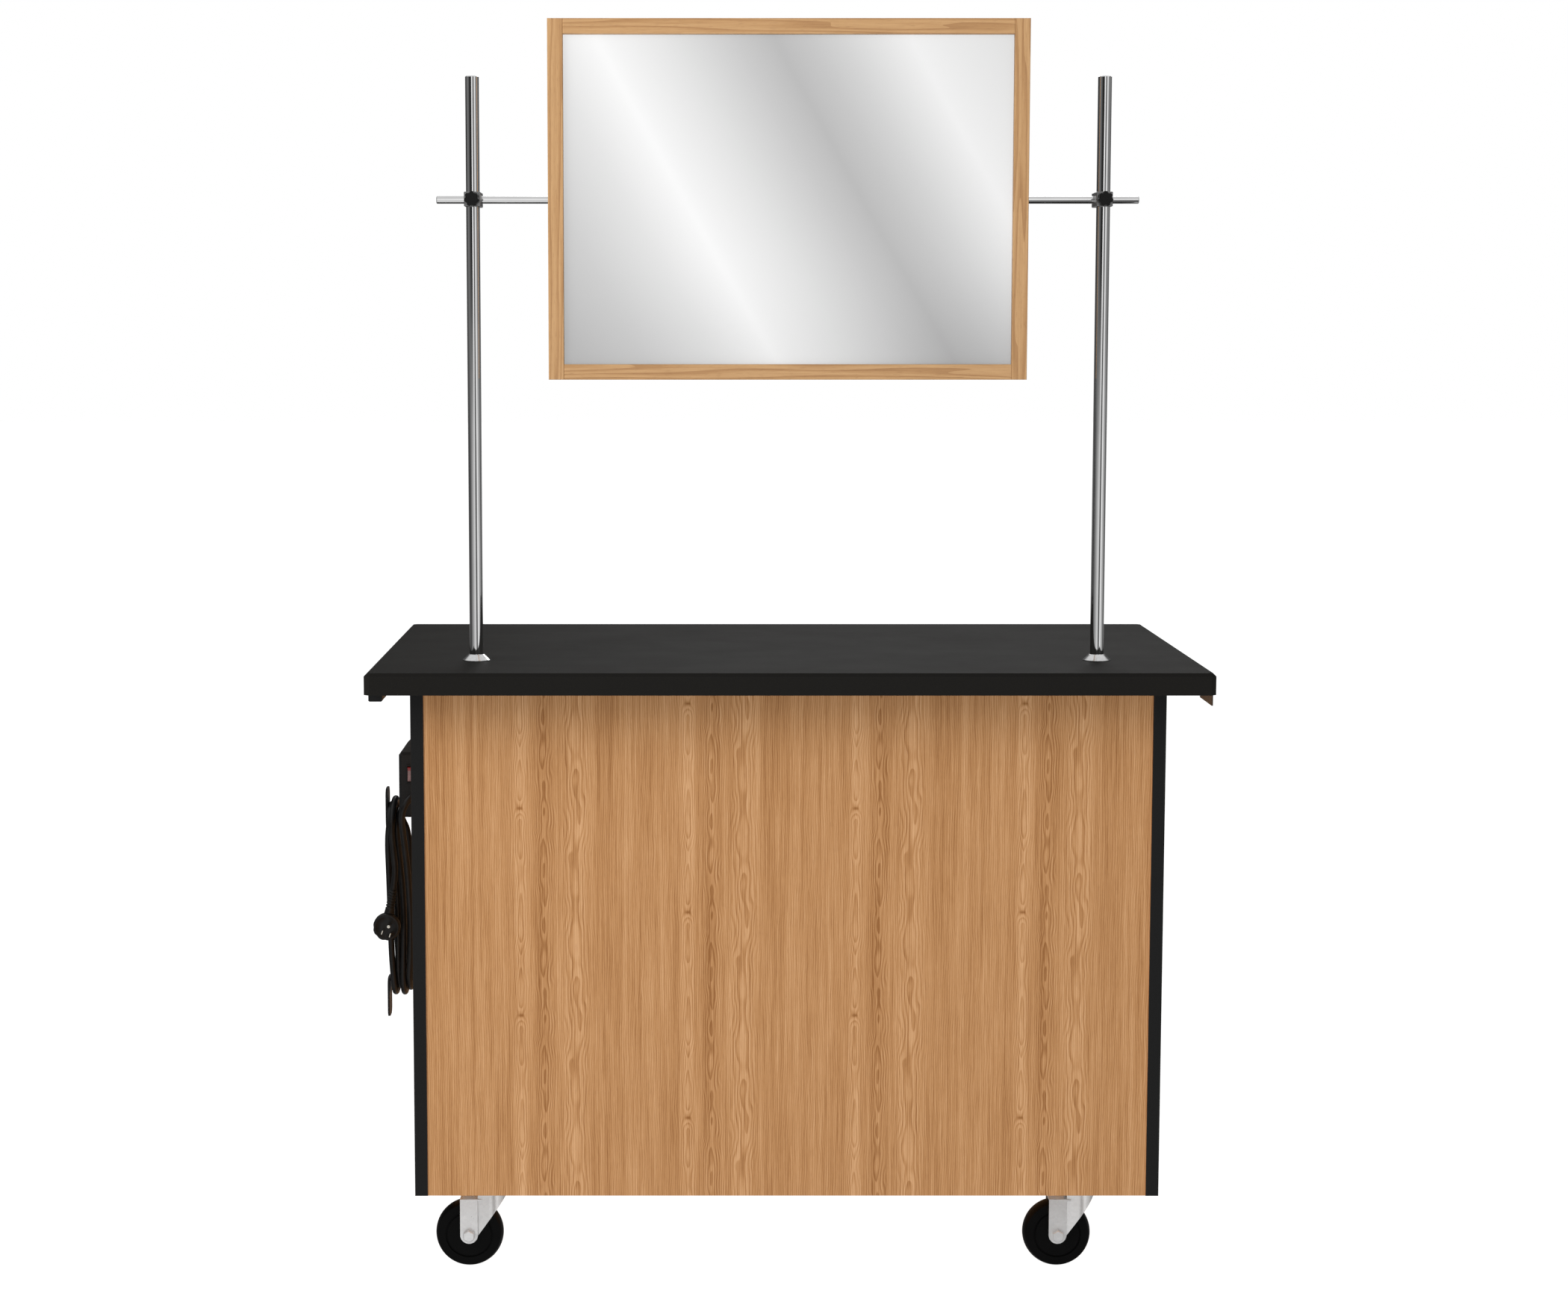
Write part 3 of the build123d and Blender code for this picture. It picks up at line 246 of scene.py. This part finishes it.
def solid_oak(name, grain):
    """The mirror frame's lighter solid oak."""
    g = Graph(bpy.data.materials.new(name))
    x, y, z = g.axes(g.coordinates())
    across, along = (g.math("MULTIPLY_ADD", y, 0.7, x), z) if grain == "Z" else (
        g.math("MULTIPLY_ADD", y, 0.7, z), x)
    slow = g.math("MULTIPLY", along, 0.05)
    waver = g.noise(g.point(across, 0.3, slow), 26.0, detail=2.0)
    rings = g.math("FRACT", g.math("MULTIPLY_ADD", waver, 9.0, g.math("MULTIPLY", across, 95.0)))
    late_wood = g.spread(rings, 0.3, 0.95)
    streaks = g.point(across, 0.0, g.math("MULTIPLY", along, 0.03))
    streaks = g.noise(streaks, 420.0, detail=3.0, roughness=0.65)
    pore = g.noise(g.point(across, 0.1, g.math("MULTIPLY", along, 0.05)), 1300.0, detail=1.0)
    pore = g.spread(pore, 0.6, 0.74)
    shade = g.math("MULTIPLY_ADD", late_wood, 0.30, g.math("MULTIPLY", streaks, 0.62))
    colour = g.ramp(shade, (0.22, tone(206, 163, 114)), (0.50, tone(187, 142, 94)),
                    (0.85, tone(156, 112, 70)))
    colour = g.mix(g.math("MULTIPLY", pore, 0.35), colour, tone(150, 104, 64))
    relief = g.math("MULTIPLY_ADD", pore, -0.8, g.math("MULTIPLY", streaks, 0.5))
    rounded, edge = g.soft_edges(0.0012)
    colour = g.mix(g.math("MULTIPLY", edge, 0.3), colour, tone(214, 176, 130))
    return g.set(Base_Color=colour, Roughness=g.math("MULTIPLY_ADD", relief, -0.1, 0.44),
                 Coat_Weight=0.15, Coat_Roughness=0.3, Normal=g.bump(relief, 0.00012, rounded))


# ---- laminate, glass, metal and plastic ----------------------------------------------------------------

def worktop_laminate():
    """Charcoal laminate: a fine pebbled texture with lighter and darker specks and rubbed edges."""
    g = Graph(bpy.data.materials.new("worktop_laminate"))
    place = g.coordinates()
    speck = g.noise(place, 1400.0, detail=2.0, roughness=0.6)
    cloud = g.noise(place, 9.0, detail=4.0, roughness=0.6)
    colour = g.ramp(speck, (0.30, tone(27, 26, 25)), (0.55, tone(32, 31, 29)), (0.78, tone(41, 39, 37)))
    colour = g.mix(g.math("MULTIPLY", cloud, 0.2), colour, tone(35, 34, 33))
    rounded, edge = g.soft_edges(0.0012)
    colour = g.mix(g.math("MULTIPLY", edge, 0.4), colour, grey(42))
    pebble = g.noise(place, 700.0, detail=3.0)
    rough = g.math("MULTIPLY_ADD", cloud, 0.12, 0.56)
    return g.set(Base_Color=colour, Roughness=rough, Specular_IOR_Level=0.02,
                 Normal=g.bump(pebble, 0.00005, rounded))


PAINTED_REFLECTION_SLANT = 0.568                            # how far a painted reflection band moves right for each unit down the glass
# the painted reflection bands' greys: the place across the slant, and the grey level
PAINTED_REFLECTION_BANDS = [(0.04, 190), (0.14, 206), (0.25, 228), (0.342, 249), (0.370, 243), (0.45, 228), (0.56, 201),
                (0.618, 187), (0.67, 198), (0.72, 211), (0.775, 227), (0.827, 241), (0.88, 235), (1.0, 223)]


def mirror_silver():
    """Silvered glass whose base colour holds painted reflection: slanting light and dark grey bands that
    stand for reflected studio light.
    """
    g = Graph(bpy.data.materials.new("mirror_silver"))
    lowest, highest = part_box("mirror_glass")
    x, _, z = g.axes(g.coordinates())
    painted_reflection_place = g.math("MULTIPLY_ADD", g.math("SUBTRACT", z, highest.z), PAINTED_REFLECTION_SLANT, x)
    width, fall = highest.x - lowest.x, PAINTED_REFLECTION_SLANT * (highest.z - lowest.z)
    share = g.math("DIVIDE", g.math("SUBTRACT", painted_reflection_place, lowest.x - fall), width + fall)
    waver = g.math("MULTIPLY_ADD", g.noise(g.coordinates(), 2.2, detail=1.0), 0.02, -0.01)
    # painted reflection: the slanting grey bands are put into the glass's colour, not reflected by it
    colour = g.ramp(g.math("ADD", share, waver),
                    *((place, grey(level)) for place, level in PAINTED_REFLECTION_BANDS))
    smear = g.noise(g.stretch(g.coordinates(), (3.0, 3.0, 8.0)), 6.0, detail=4.0, roughness=0.65)
    rough = g.spread(smear, 0.35, 0.8, 0.02, 0.055)
    return g.set(Base_Color=colour, Metallic=0.75, Roughness=rough)


def metal(name, low, high, roughness, lay=(1.0, 1.0, 1.0), grain=400.0, depth=0.00001, edge_radius=0.0005):
    """Bare or plated metal. lay stretches its scratches, and the tone wanders from low to high."""
    g = Graph(bpy.data.materials.new(name))
    place = g.stretch(g.coordinates(), lay)
    scratches = g.noise(place, grain, detail=3.0, roughness=0.65)
    cloud = g.noise(g.coordinates(), 18.0, detail=3.0)
    colour = g.ramp(g.math("MULTIPLY_ADD", scratches, 0.6, g.math("MULTIPLY", cloud, 0.4)),
                    (0.3, low), (0.7, high))
    rough = g.math("MULTIPLY_ADD", scratches, 0.7 * roughness, 0.65 * roughness)
    rounded = g.soft_edges(edge_radius)[0]
    return g.set(Base_Color=colour, Metallic=1.0, Roughness=rough, Normal=g.bump(scratches, depth, rounded))


def zinc_steel():
    """Bright zinc plate: a faint spangle, soft gloss and brighter edges."""
    g = Graph(bpy.data.materials.new("zinc_steel"))
    place = g.coordinates()
    spangle = g.add("TexVoronoi")
    g.put(spangle.inputs["Vector"], place)
    g.put(spangle.inputs["Scale"], 260.0)
    cells = g.axes(spangle.outputs["Color"])[0]
    cloud = g.noise(place, 45.0, detail=4.0, roughness=0.6)
    colour = g.ramp(g.math("MULTIPLY_ADD", cells, 0.25, g.math("MULTIPLY", cloud, 0.75)),
                    (0.25, grey(224)), (0.75, grey(238)))
    rounded, edge = g.soft_edges(0.0006)
    colour = g.mix(g.math("MULTIPLY", edge, 0.4), colour, grey(240))
    rough = g.math("MULTIPLY_ADD", cloud, 0.12, 0.24)
    return g.set(Base_Color=colour, Metallic=0.6, Roughness=rough, Normal=g.bump(cells, 0.000002, rounded))


def plastic(name, low, high, edge, roughness=0.4, grain=900.0, depth=0.00004, specular=0.22):
    """Moulded plastic or paint with a fine surface grain. edge is the colour of rubbed edges."""
    g = Graph(bpy.data.materials.new(name))
    place = g.coordinates()
    fine = g.noise(place, grain, detail=2.0)
    cloud = g.noise(place, 30.0, detail=4.0, roughness=0.6)
    shade = g.math("MULTIPLY_ADD", cloud, 0.6, g.math("MULTIPLY", fine, 0.4))
    colour = g.ramp(shade, (0.3, low), (0.7, high))
    rounded, mask = g.soft_edges(0.0006)
    colour = g.mix(g.math("MULTIPLY", mask, 0.5), colour, edge)
    rough = g.math("MULTIPLY_ADD", cloud, 0.2, roughness - 0.1)
    return g.set(Base_Color=colour, Roughness=rough, Specular_IOR_Level=specular,
                 Normal=g.bump(fine, depth, rounded))


def rocker_red():
    """The rocker: a dark red upper half and a smoky pink translucent lower half."""
    g = Graph(bpy.data.materials.new("rocker_red"))
    lowest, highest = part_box("rocker")
    z = g.axes(g.coordinates())[2]
    upper = g.spread(z, highest.z - 0.0062, highest.z - 0.0050)
    cloud = g.noise(g.coordinates(), 240.0, detail=3.0)
    lower_tone = g.ramp(cloud, (0.3, tone(104, 78, 78)), (0.7, tone(132, 100, 98)))
    upper_tone = g.ramp(cloud, (0.3, tone(92, 14, 14)), (0.7, tone(124, 22, 20)))
    rounded = g.soft_edges(0.0004)[0]
    return g.set(Base_Color=g.mix(upper, lower_tone, upper_tone), Coat_Weight=0.3,
                 Roughness=g.spread(cloud, 0.2, 0.8, 0.16, 0.3), Normal=g.bump(cloud, 0.00001, rounded))


def hardboard():
    """Brown pressed fibre board on the mirror's back."""
    g = Graph(bpy.data.materials.new("hardboard"))
    place = g.coordinates()
    fibres = g.noise(g.stretch(place, (1.0, 1.0, 2.4)), 520.0, detail=4.0, roughness=0.7, distortion=1.5)
    stain = g.noise(place, 14.0, detail=3.0)
    colour = g.ramp(g.math("MULTIPLY_ADD", fibres, 0.7, g.math("MULTIPLY", stain, 0.3)),
                    (0.3, tone(88, 62, 42)), (0.7, tone(132, 98, 68)))
    return g.set(Base_Color=colour, Roughness=0.78, Normal=g.bump(fibres, 0.0001))


def cord_rubber():
    """Black rubber sheath: a dull sheen, a fine grain and grey dust."""
    g = Graph(bpy.data.materials.new("cord_rubber"))
    place = g.coordinates()
    dust = g.noise(place, 60.0, detail=4.0, roughness=0.65)
    grain = g.noise(place, 1600.0, detail=2.0)
    colour = g.ramp(dust, (0.35, grey(13)), (0.75, grey(24)))
    rough = g.math("MULTIPLY_ADD", dust, 0.22, 0.26)
    return g.set(Base_Color=colour, Roughness=rough, Specular_IOR_Level=0.30,
                 Normal=g.bump(grain, 0.00003, g.soft_edges(0.0004)[0]))


SIDE_OAK = wood("oak_laminate_side", "Z", black_faces="YZ")
ALONG_OAK = wood("oak_laminate_along", "X", black_faces="X")
DOOR_OAK = wood("oak_laminate_door", "Z", black_faces="XZ")
FRONT_OAK = wood("oak_laminate_front", "Z")
STILE_OAK, RAIL_OAK = solid_oak("mirror_oak_stiles", "Z"), solid_oak("mirror_oak_rails", "X")
ROD_STEEL = metal("polished_rod", grey(218), grey(236), 0.045, lay=(1.0, 1.0, 0.02), grain=900.0,
                  depth=0.000002)
CROSS_STEEL = metal("polished_cross_rod", grey(218), grey(238), 0.045, lay=(0.02, 1.0, 1.0), grain=900.0,
                    depth=0.000002)
FLANGE_CHROME = metal("flange_chrome", grey(218), grey(240), 0.12, grain=160.0)
CLAMP_METAL = metal("cast_clamp", grey(128), grey(158), 0.34, grain=700.0, depth=0.00006,
                    edge_radius=0.0008)
ZINC = zinc_steel()
KNOB_PLASTIC = plastic("knob_plastic", grey(10), grey(16), grey(34), roughness=0.35)
WHEEL_BLACK = plastic("wheel_black", grey(4), grey(9), grey(24), roughness=0.40, grain=500.0, depth=0.00001,
                      specular=0.08)
BOX_PAINT = plastic("box_paint", grey(20), grey(27), grey(46), roughness=0.42, grain=420.0, depth=0.00008)
COVER_PLATE = plastic("cover_plate", grey(44), grey(56), grey(70))
OUTLET_PLASTIC = plastic("outlet_plastic", grey(30), grey(40), grey(56), roughness=0.34)
BLACK_PLASTIC = plastic("black_plastic", grey(14), grey(22), grey(40))
TRIM_BROWN = plastic("trim_brown", tone(58, 46, 38), tone(84, 66, 54), tone(132, 116, 100),
                     roughness=0.34)
BRASS = metal("plug_brass", tone(190, 186, 176), tone(226, 222, 212), 0.2, lay=(1.0, 0.05, 1.0))
CORD_RUBBER = cord_rubber()

CASTERS = [f"{end}_{side}" for end in ("front", "rear") for side in ("left", "right")]
FINISHES = {
    "worktop": worktop_laminate(),
    "left_side_panel": SIDE_OAK, "right_side_panel": SIDE_OAK,
    "audience_panel": FRONT_OAK,
    "bottom_panel": ALONG_OAK, "top_rails": ALONG_OAK, "shelf": ALONG_OAK,
    "left_door": DOOR_OAK, "right_door": DOOR_OAK,
    "mirror_stiles": STILE_OAK, "mirror_rails": RAIL_OAK,
    "mirror_glass": mirror_silver(), "mirror_backing": hardboard(),
    "uprights": ROD_STEEL, "cross_rod": CROSS_STEEL, "rod_sockets": FLANGE_CHROME,
    "rod_clamps": CLAMP_METAL, "mirror_clips": CLAMP_METAL,
    "left_thumbscrew": KNOB_PLASTIC, "right_thumbscrew": KNOB_PLASTIC,
    "power_box": BOX_PAINT, "outlet_cover": COVER_PLATE, "duplex_outlet": OUTLET_PLASTIC,
    "switch_bezel": BLACK_PLASTIC, "cord_gland": BLACK_PLASTIC, "cord_cleats": BLACK_PLASTIC,
    "rocker": rocker_red(),
    "cord_lead": CORD_RUBBER, "cord_hank": CORD_RUBBER, "cord_tail": CORD_RUBBER,
    "plug_strain_relief": CORD_RUBBER, "plug_body": CORD_RUBBER, "plug_prongs": BRASS,
    "left_end_block": BLACK_PLASTIC, "right_end_plate": TRIM_BROWN,
    **{caster + "_wheel": WHEEL_BLACK for caster in CASTERS},
}
for node_name, node in NODES.items():
    node.data.materials.clear()
    node.data.materials.append(FINISHES.get(node_name, ZINC))


# ---- mains cord ----------------------------------------------------------------------------------------

CORD_DIAMETER = 0.0095
CORD_EXIT = (-0.5605, -0.087, 0.700)

LEAD_ROUTE = [
    CORD_EXIT,
    (-0.5620, -0.1010, 0.6995),
    (-0.5675, -0.1125, 0.6955),
    (-0.5748, -0.1195, 0.6870),
    (-0.5798, -0.1205, 0.6745),
    (-0.5810, -0.1155, 0.6590),
    (-0.5800, -0.1070, 0.6400),
    (-0.5780, -0.0955, 0.6130),
    (-0.5760, -0.0820, 0.5750),
    (-0.5750, -0.0690, 0.5300),
    (-0.5745, -0.0580, 0.4880),
    (-0.5752, -0.0550, 0.4600),
    (-0.5763, -0.0525, 0.4300),
]

# Each turn hangs under the lower cleat, goes up behind, over the upper cleat's arm and down in front.
# low and top are (x, front y, back y, z, bend radius); back and front are the runs' (x, y) between the bends.
TURNS = [
    {"low": (-0.5786, -0.0515, 0.0270, 0.3823, 0.0375), "top": (-0.5960, -0.0495, 0.0285, 0.6605, 0.0300),
     "back": [(-0.5800, 0.0270), (-0.5820, 0.0270), (-0.5835, 0.0280), (-0.5845, 0.0290)],
     "front": [(-0.5948, -0.0505), (-0.5885, -0.0495), (-0.5856, -0.0490), (-0.5870, -0.0490)]},
    {"low": (-0.5883, -0.0490, 0.0290, 0.3741, 0.0385), "top": (-0.6054, -0.0435, 0.0230, 0.6600, 0.0285),
     "back": [(-0.5892, 0.0285), (-0.5908, 0.0280), (-0.5935, 0.0260), (-0.6000, 0.0235)],
     "front": [(-0.6018, -0.0430), (-0.5982, -0.0425), (-0.5952, -0.0430), (-0.5960, -0.0435)]},
    {"low": (-0.5955, -0.0435, 0.0230, 0.3840, 0.0330), "top": (-0.6060, -0.0525, 0.0325, 0.6697, 0.0330),
     "back": [(-0.5975, 0.0230), (-0.6005, 0.0235), (-0.6030, 0.0265), (-0.6055, 0.0310)],
     "front": [(-0.6096, -0.0515), (-0.6078, -0.0490), (-0.6068, -0.0480), (-0.6055, -0.0480)]},
    {"low": (-0.6023, -0.0480, 0.0300, 0.3741, 0.0385), "top": (-0.6013, -0.0590, 0.0410, 0.6780, 0.0480),
     "back": [(-0.6045, 0.0325), (-0.6085, 0.0370), (-0.6095, 0.0400), (-0.6050, 0.0410)],
     "front": []},
]
RUN_HEIGHTS = (0.440, 0.500, 0.560, 0.620)

PLUG_CENTRE = Vector((-0.6095, -0.0750, 0.4900))
PLUG_R, PLUG_T = 0.021, 0.019
RELIEF_LEAN = math.radians(9.5)
RELIEF_AXIS = Vector((math.sin(RELIEF_LEAN), 0.12, math.cos(RELIEF_LEAN))).normalized()
RELIEF_L = 0.038
RELIEF_START = PLUG_CENTRE + RELIEF_AXIS * (PLUG_R - 0.002)
RELIEF_END = RELIEF_START + RELIEF_AXIS * RELIEF_L

TAIL_ROUTE = [
    (-0.6026, -0.0605, 0.6360),
    (-0.5998, -0.0625, 0.6060),
    tuple(RELIEF_END + RELIEF_AXIS * 0.026),
    tuple(RELIEF_END),
]


def bend(x, front, back, extreme, radius, way):
    """Control points of a half turn from front run to back run. way is 1 over the top, -1 underneath."""
    reach = radius / math.cos(math.pi / 8)
    points = []
    for edge, inward, eighths in ((front, 1, 1), (front, 1, 3), (back, -1, 3), (back, -1, 1)):
        angle = eighths * math.pi / 8
        points.append((x, edge + inward * (radius - reach * math.cos(angle)),
                       extreme - way * (radius - reach * math.sin(angle))))
    return points


def cord_route():
    """Every control point from the gland to the plug's strain relief, with 16 for each turn."""
    route = list(LEAD_ROUTE)
    for turn in TURNS:
        route += bend(*turn["low"], way=-1)
        route += [(x, y, z) for (x, y), z in zip(turn["back"], RUN_HEIGHTS)]
        route += reversed(bend(*turn["top"], way=1))
        route += [(x, y, z) for (x, y), z in zip(turn["front"], reversed(RUN_HEIGHTS))]
    return route + TAIL_ROUTE


def make_cord(name, points, diameter):
    curve = bpy.data.curves.new(name, "CURVE")
    curve.dimensions = "3D"
    spline = curve.splines.new("NURBS")
    spline.points.add(len(points) - 1)
    for control, place in zip(spline.points, points):
        control.co = (*place, 1.0)
    spline.order_u = 3
    spline.use_endpoint_u = True
    spline.resolution_u = 8
    curve.bevel_depth = diameter / 2
    curve.bevel_resolution = 6
    curve.use_fill_caps = True
    made = bpy.data.objects.new(name, curve)
    SCENE.collection.objects.link(made)
    made.data.materials.append(CORD_RUBBER)
    return made


def finish_mesh(name, mesh, material):
    """A mesh object from a bmesh, smooth, with its finish, riding on the cabinet."""
    bmesh.ops.recalc_face_normals(mesh, faces=mesh.faces)
    data = bpy.data.meshes.new(name)
    mesh.to_mesh(data)
    mesh.free()
    data.shade_smooth()
    data.materials.append(material)
    made = bpy.data.objects.new(name, data)
    SCENE.collection.objects.link(made)
    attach(made, "cabinet")
    return made


def loft(mesh, rings):
    """Joins closed rings of points, the same number in each, and caps both ends."""
    loops = [[mesh.verts.new(p) for p in ring] for ring in rings]
    for first, second in zip(loops, loops[1:]):
        for i in range(len(first)):
            j = (i + 1) % len(first)
            mesh.faces.new((first[i], first[j], second[j], second[i]))
    mesh.faces.new(loops[0])
    mesh.faces.new(list(reversed(loops[-1])))


def plug_outline(angle, radius, grip):
    """Distance of the plug's rim from its centre: notches for the fingers on the left and lower left."""
    notch = 0.0
    for centre in (math.radians(180), math.radians(222), math.radians(264)):
        away = (angle - centre) / math.radians(9)
        notch += math.exp(-away * away)
    return radius - grip * min(notch, 1.0)


def plug_body():
    """A round moulded plug: notched rim, rounded edges and a shallow recess round the prongs."""
    mesh = bmesh.new()
    steps = 120
    front = -PLUG_T / 2
    sections = [(front + 0.0016, PLUG_R * 0.40, 0.0), (front + 0.0012, PLUG_R * 0.74, 0.0),
                (front + 0.0002, PLUG_R * 0.79, 0.0), (front, PLUG_R * 0.86, 0.0003),
                (front + 0.0004, PLUG_R * 0.93, 0.0006), (front + 0.0022, PLUG_R * 0.99, 0.0010),
                (front + 0.0050, PLUG_R, 0.0012), (-front - 0.0060, PLUG_R, 0.0012),
                (-front - 0.0025, PLUG_R * 0.95, 0.0008), (-front - 0.0004, PLUG_R * 0.84, 0.0002),
                (-front, PLUG_R * 0.55, 0.0)]
    rings = []
    for depth, radius, grip in sections:
        ring = []
        for i in range(steps):
            angle = 2 * math.pi * i / steps
            r = plug_outline(angle, radius, grip)
            ring.append(PLUG_CENTRE + Vector((r * math.cos(angle), depth, r * math.sin(angle))))
        rings.append(ring)
    loft(mesh, rings)
    return finish_mesh("plug_moulding", mesh, CORD_RUBBER)


def strain_relief():
    """A ribbed, tapered sleeve from the plug's neck to the cord."""
    neck, slots, slot_share = 0.008, 7, 0.42
    pitch = (RELIEF_L - neck) / slots
    profile = [(0.0, 0.0082), (neck * 0.5, 0.0074), (neck, 0.0070)]
    for i in range(slots):
        at = neck + i * pitch
        outer = 0.0070 - 0.0008 * i / slots
        cut = at + pitch * (1 - slot_share)
        profile += [(at + 0.0002, outer), (cut - 0.0002, outer), (cut, outer - 0.0013),
                    (at + pitch - 0.0002, outer - 0.0013)]
    profile += [(RELIEF_L, 0.0060), (RELIEF_L + 0.0004, CORD_DIAMETER / 2 + 0.0002)]
    turn = RELIEF_AXIS.to_track_quat("Z", "Y").to_matrix()
    steps = 36
    mesh = bmesh.new()
    loft(mesh, [[RELIEF_START + turn @ Vector((r * math.cos(2 * math.pi * i / steps),
                                               r * math.sin(2 * math.pi * i / steps), along))
                 for i in range(steps)] for along, r in profile])
    return finish_mesh("plug_relief", mesh, CORD_RUBBER)


mains_cord = make_cord("mains_cord", cord_route(), CORD_DIAMETER)
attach(mains_cord, "cabinet")
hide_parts("cord_lead", "cord_hank", "cord_tail")
plug = plug_body()
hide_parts("plug_body")
relief = strain_relief()
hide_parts("plug_strain_relief")


# ---- studio --------------------------------------------------------------------------------------------

# What polished metal reflects round the horizon: degrees from the audience's side towards +X, and brightness.
CARDS_ABOVE = [(-180, 0.14), (-141, 0.05), (-120, 0.03), (-97, 0.15), (-78, 0.20), (-62, 0.16), (-47, 0.07),
               (-33, 0.02), (-11, 0.02), (-8, 1.0), (9, 1.0), (12, 0.10), (20, 0.05), (30, 0.35), (40, 0.95),
               (50, 1.0), (58, 0.45), (74, 0.19), (94, 0.26), (114, 0.18), (141, 0.06), (180, 0.14)]
CARDS_BELOW = [(-180, 0.30), (-122, 0.10), (-100, 0.04), (-78, 0.12), (-60, 0.26), (-40, 0.42), (-20, 0.66),
               (-6, 0.80), (2, 0.70), (11, 0.06), (22, 0.08), (32, 0.60), (38, 1.05), (47, 1.0), (56, 0.60),
               (84, 0.42), (106, 0.06), (124, 0.20), (180, 0.30)]


def flat(level):
    """A linear grey."""
    return (level, level, level, 1.0)


def studio_world():
    """A white tent for the camera and for soft light, with darker cards that polished metal reflects."""
    world = bpy.data.worlds.new("studio")
    SCENE.world = world
    g = Graph(world)
    g.tree.nodes.clear()
    x, y, z = g.axes(g.coordinates("Generated"))
    bearing = g.math("ARCTAN2", x, g.math("MULTIPLY", y, -1.0))
    share = g.math("MULTIPLY_ADD", bearing, 1 / (2 * math.pi), 0.5)
    above, below = (g.ramp(share, *((0.5 + degrees / 360, flat(level)) for degrees, level in cards))
                    for cards in (CARDS_ABOVE, CARDS_BELOW))
    round_about = g.mix(g.spread(z, -0.06, 0.03), below, above)
    ceiling = g.mix(g.spread(z, 0.35, 0.75), round_about, flat(CEILING_LIGHT))
    path = g.add("LightPath").outputs
    soft = g.mix(path["Is Glossy Ray"], flat(TENT_LIGHT), ceiling)
    background = g.add("Background", g.mix(path["Is Camera Ray"], soft, flat(1.0)))
    g.add("OutputWorld", background.outputs[0])


def soft_light(name, place, aim, size, power, seen_in_metal=False):
    """A square area light that shines at a point. Metal reflects it only where seen_in_metal says so."""
    data = bpy.data.lights.new(name, "AREA")
    data.size = size
    data.energy = power
    made = bpy.data.objects.new(name, data)
    made.visible_glossy = seen_in_metal
    made.location = place
    made.rotation_euler = (Vector(aim) - Vector(place)).to_track_quat("-Z", "Y").to_euler()
    SCENE.collection.objects.link(made)


def floor():
    """A plain pale floor that runs into the white background. Metal reflects the cards instead."""
    g = Graph(bpy.data.materials.new("studio_floor"))
    place = g.coordinates()
    mottle = g.noise(place, 3.0, detail=3.0)
    g.set(Base_Color=g.ramp(mottle, (0.3, grey(120)), (0.7, grey(124))), Roughness=0.9,
          Emission_Color=(1.0, 1.0, 1.0, 1.0), Emission_Strength=FLOOR_GLOW)
    mesh = bmesh.new()
    bmesh.ops.create_grid(mesh, x_segments=8, y_segments=8, size=FLOOR_HALF)
    data = bpy.data.meshes.new("floor")
    mesh.to_mesh(data)
    mesh.free()
    data.materials.append(g.owner)
    made = bpy.data.objects.new("floor", data)
    made.visible_glossy = False
    SCENE.collection.objects.link(made)


TENT_LIGHT, CEILING_LIGHT, FLOOR_GLOW, FLOOR_HALF = 0.42, 0.72, 0.98, 40.0
BENCH_MIDDLE = (0.0, 0.0, 0.9)
studio_world()
floor()
soft_light("key_light", (-3.6, -2.6, 3.0), BENCH_MIDDLE, 2.4, 120.0)
soft_light("fill_light", (3.2, -2.6, 2.4), BENCH_MIDDLE, 2.8, 6.0)
soft_light("back_light", (0.6, 3.6, 3.4), BENCH_MIDDLE, 2.6, 60.0, seen_in_metal=True)

SCENE.view_settings.view_transform = "Standard"


# ---- camera --------------------------------------------------------------------------------------------

camera_data = bpy.data.cameras.new("camera")
camera_data.sensor_width = 36.0
camera_data.lens = 67.1
camera_data.shift_x = 0.05595
camera_data.shift_y = -0.0065
camera = bpy.data.objects.new("camera", camera_data)
camera.location = (-0.134, -4.496, 1.4024)
camera.rotation_euler = (math.radians(83.892), 0.0, 0.0)
SCENE.collection.objects.link(camera)
SCENE.camera = camera
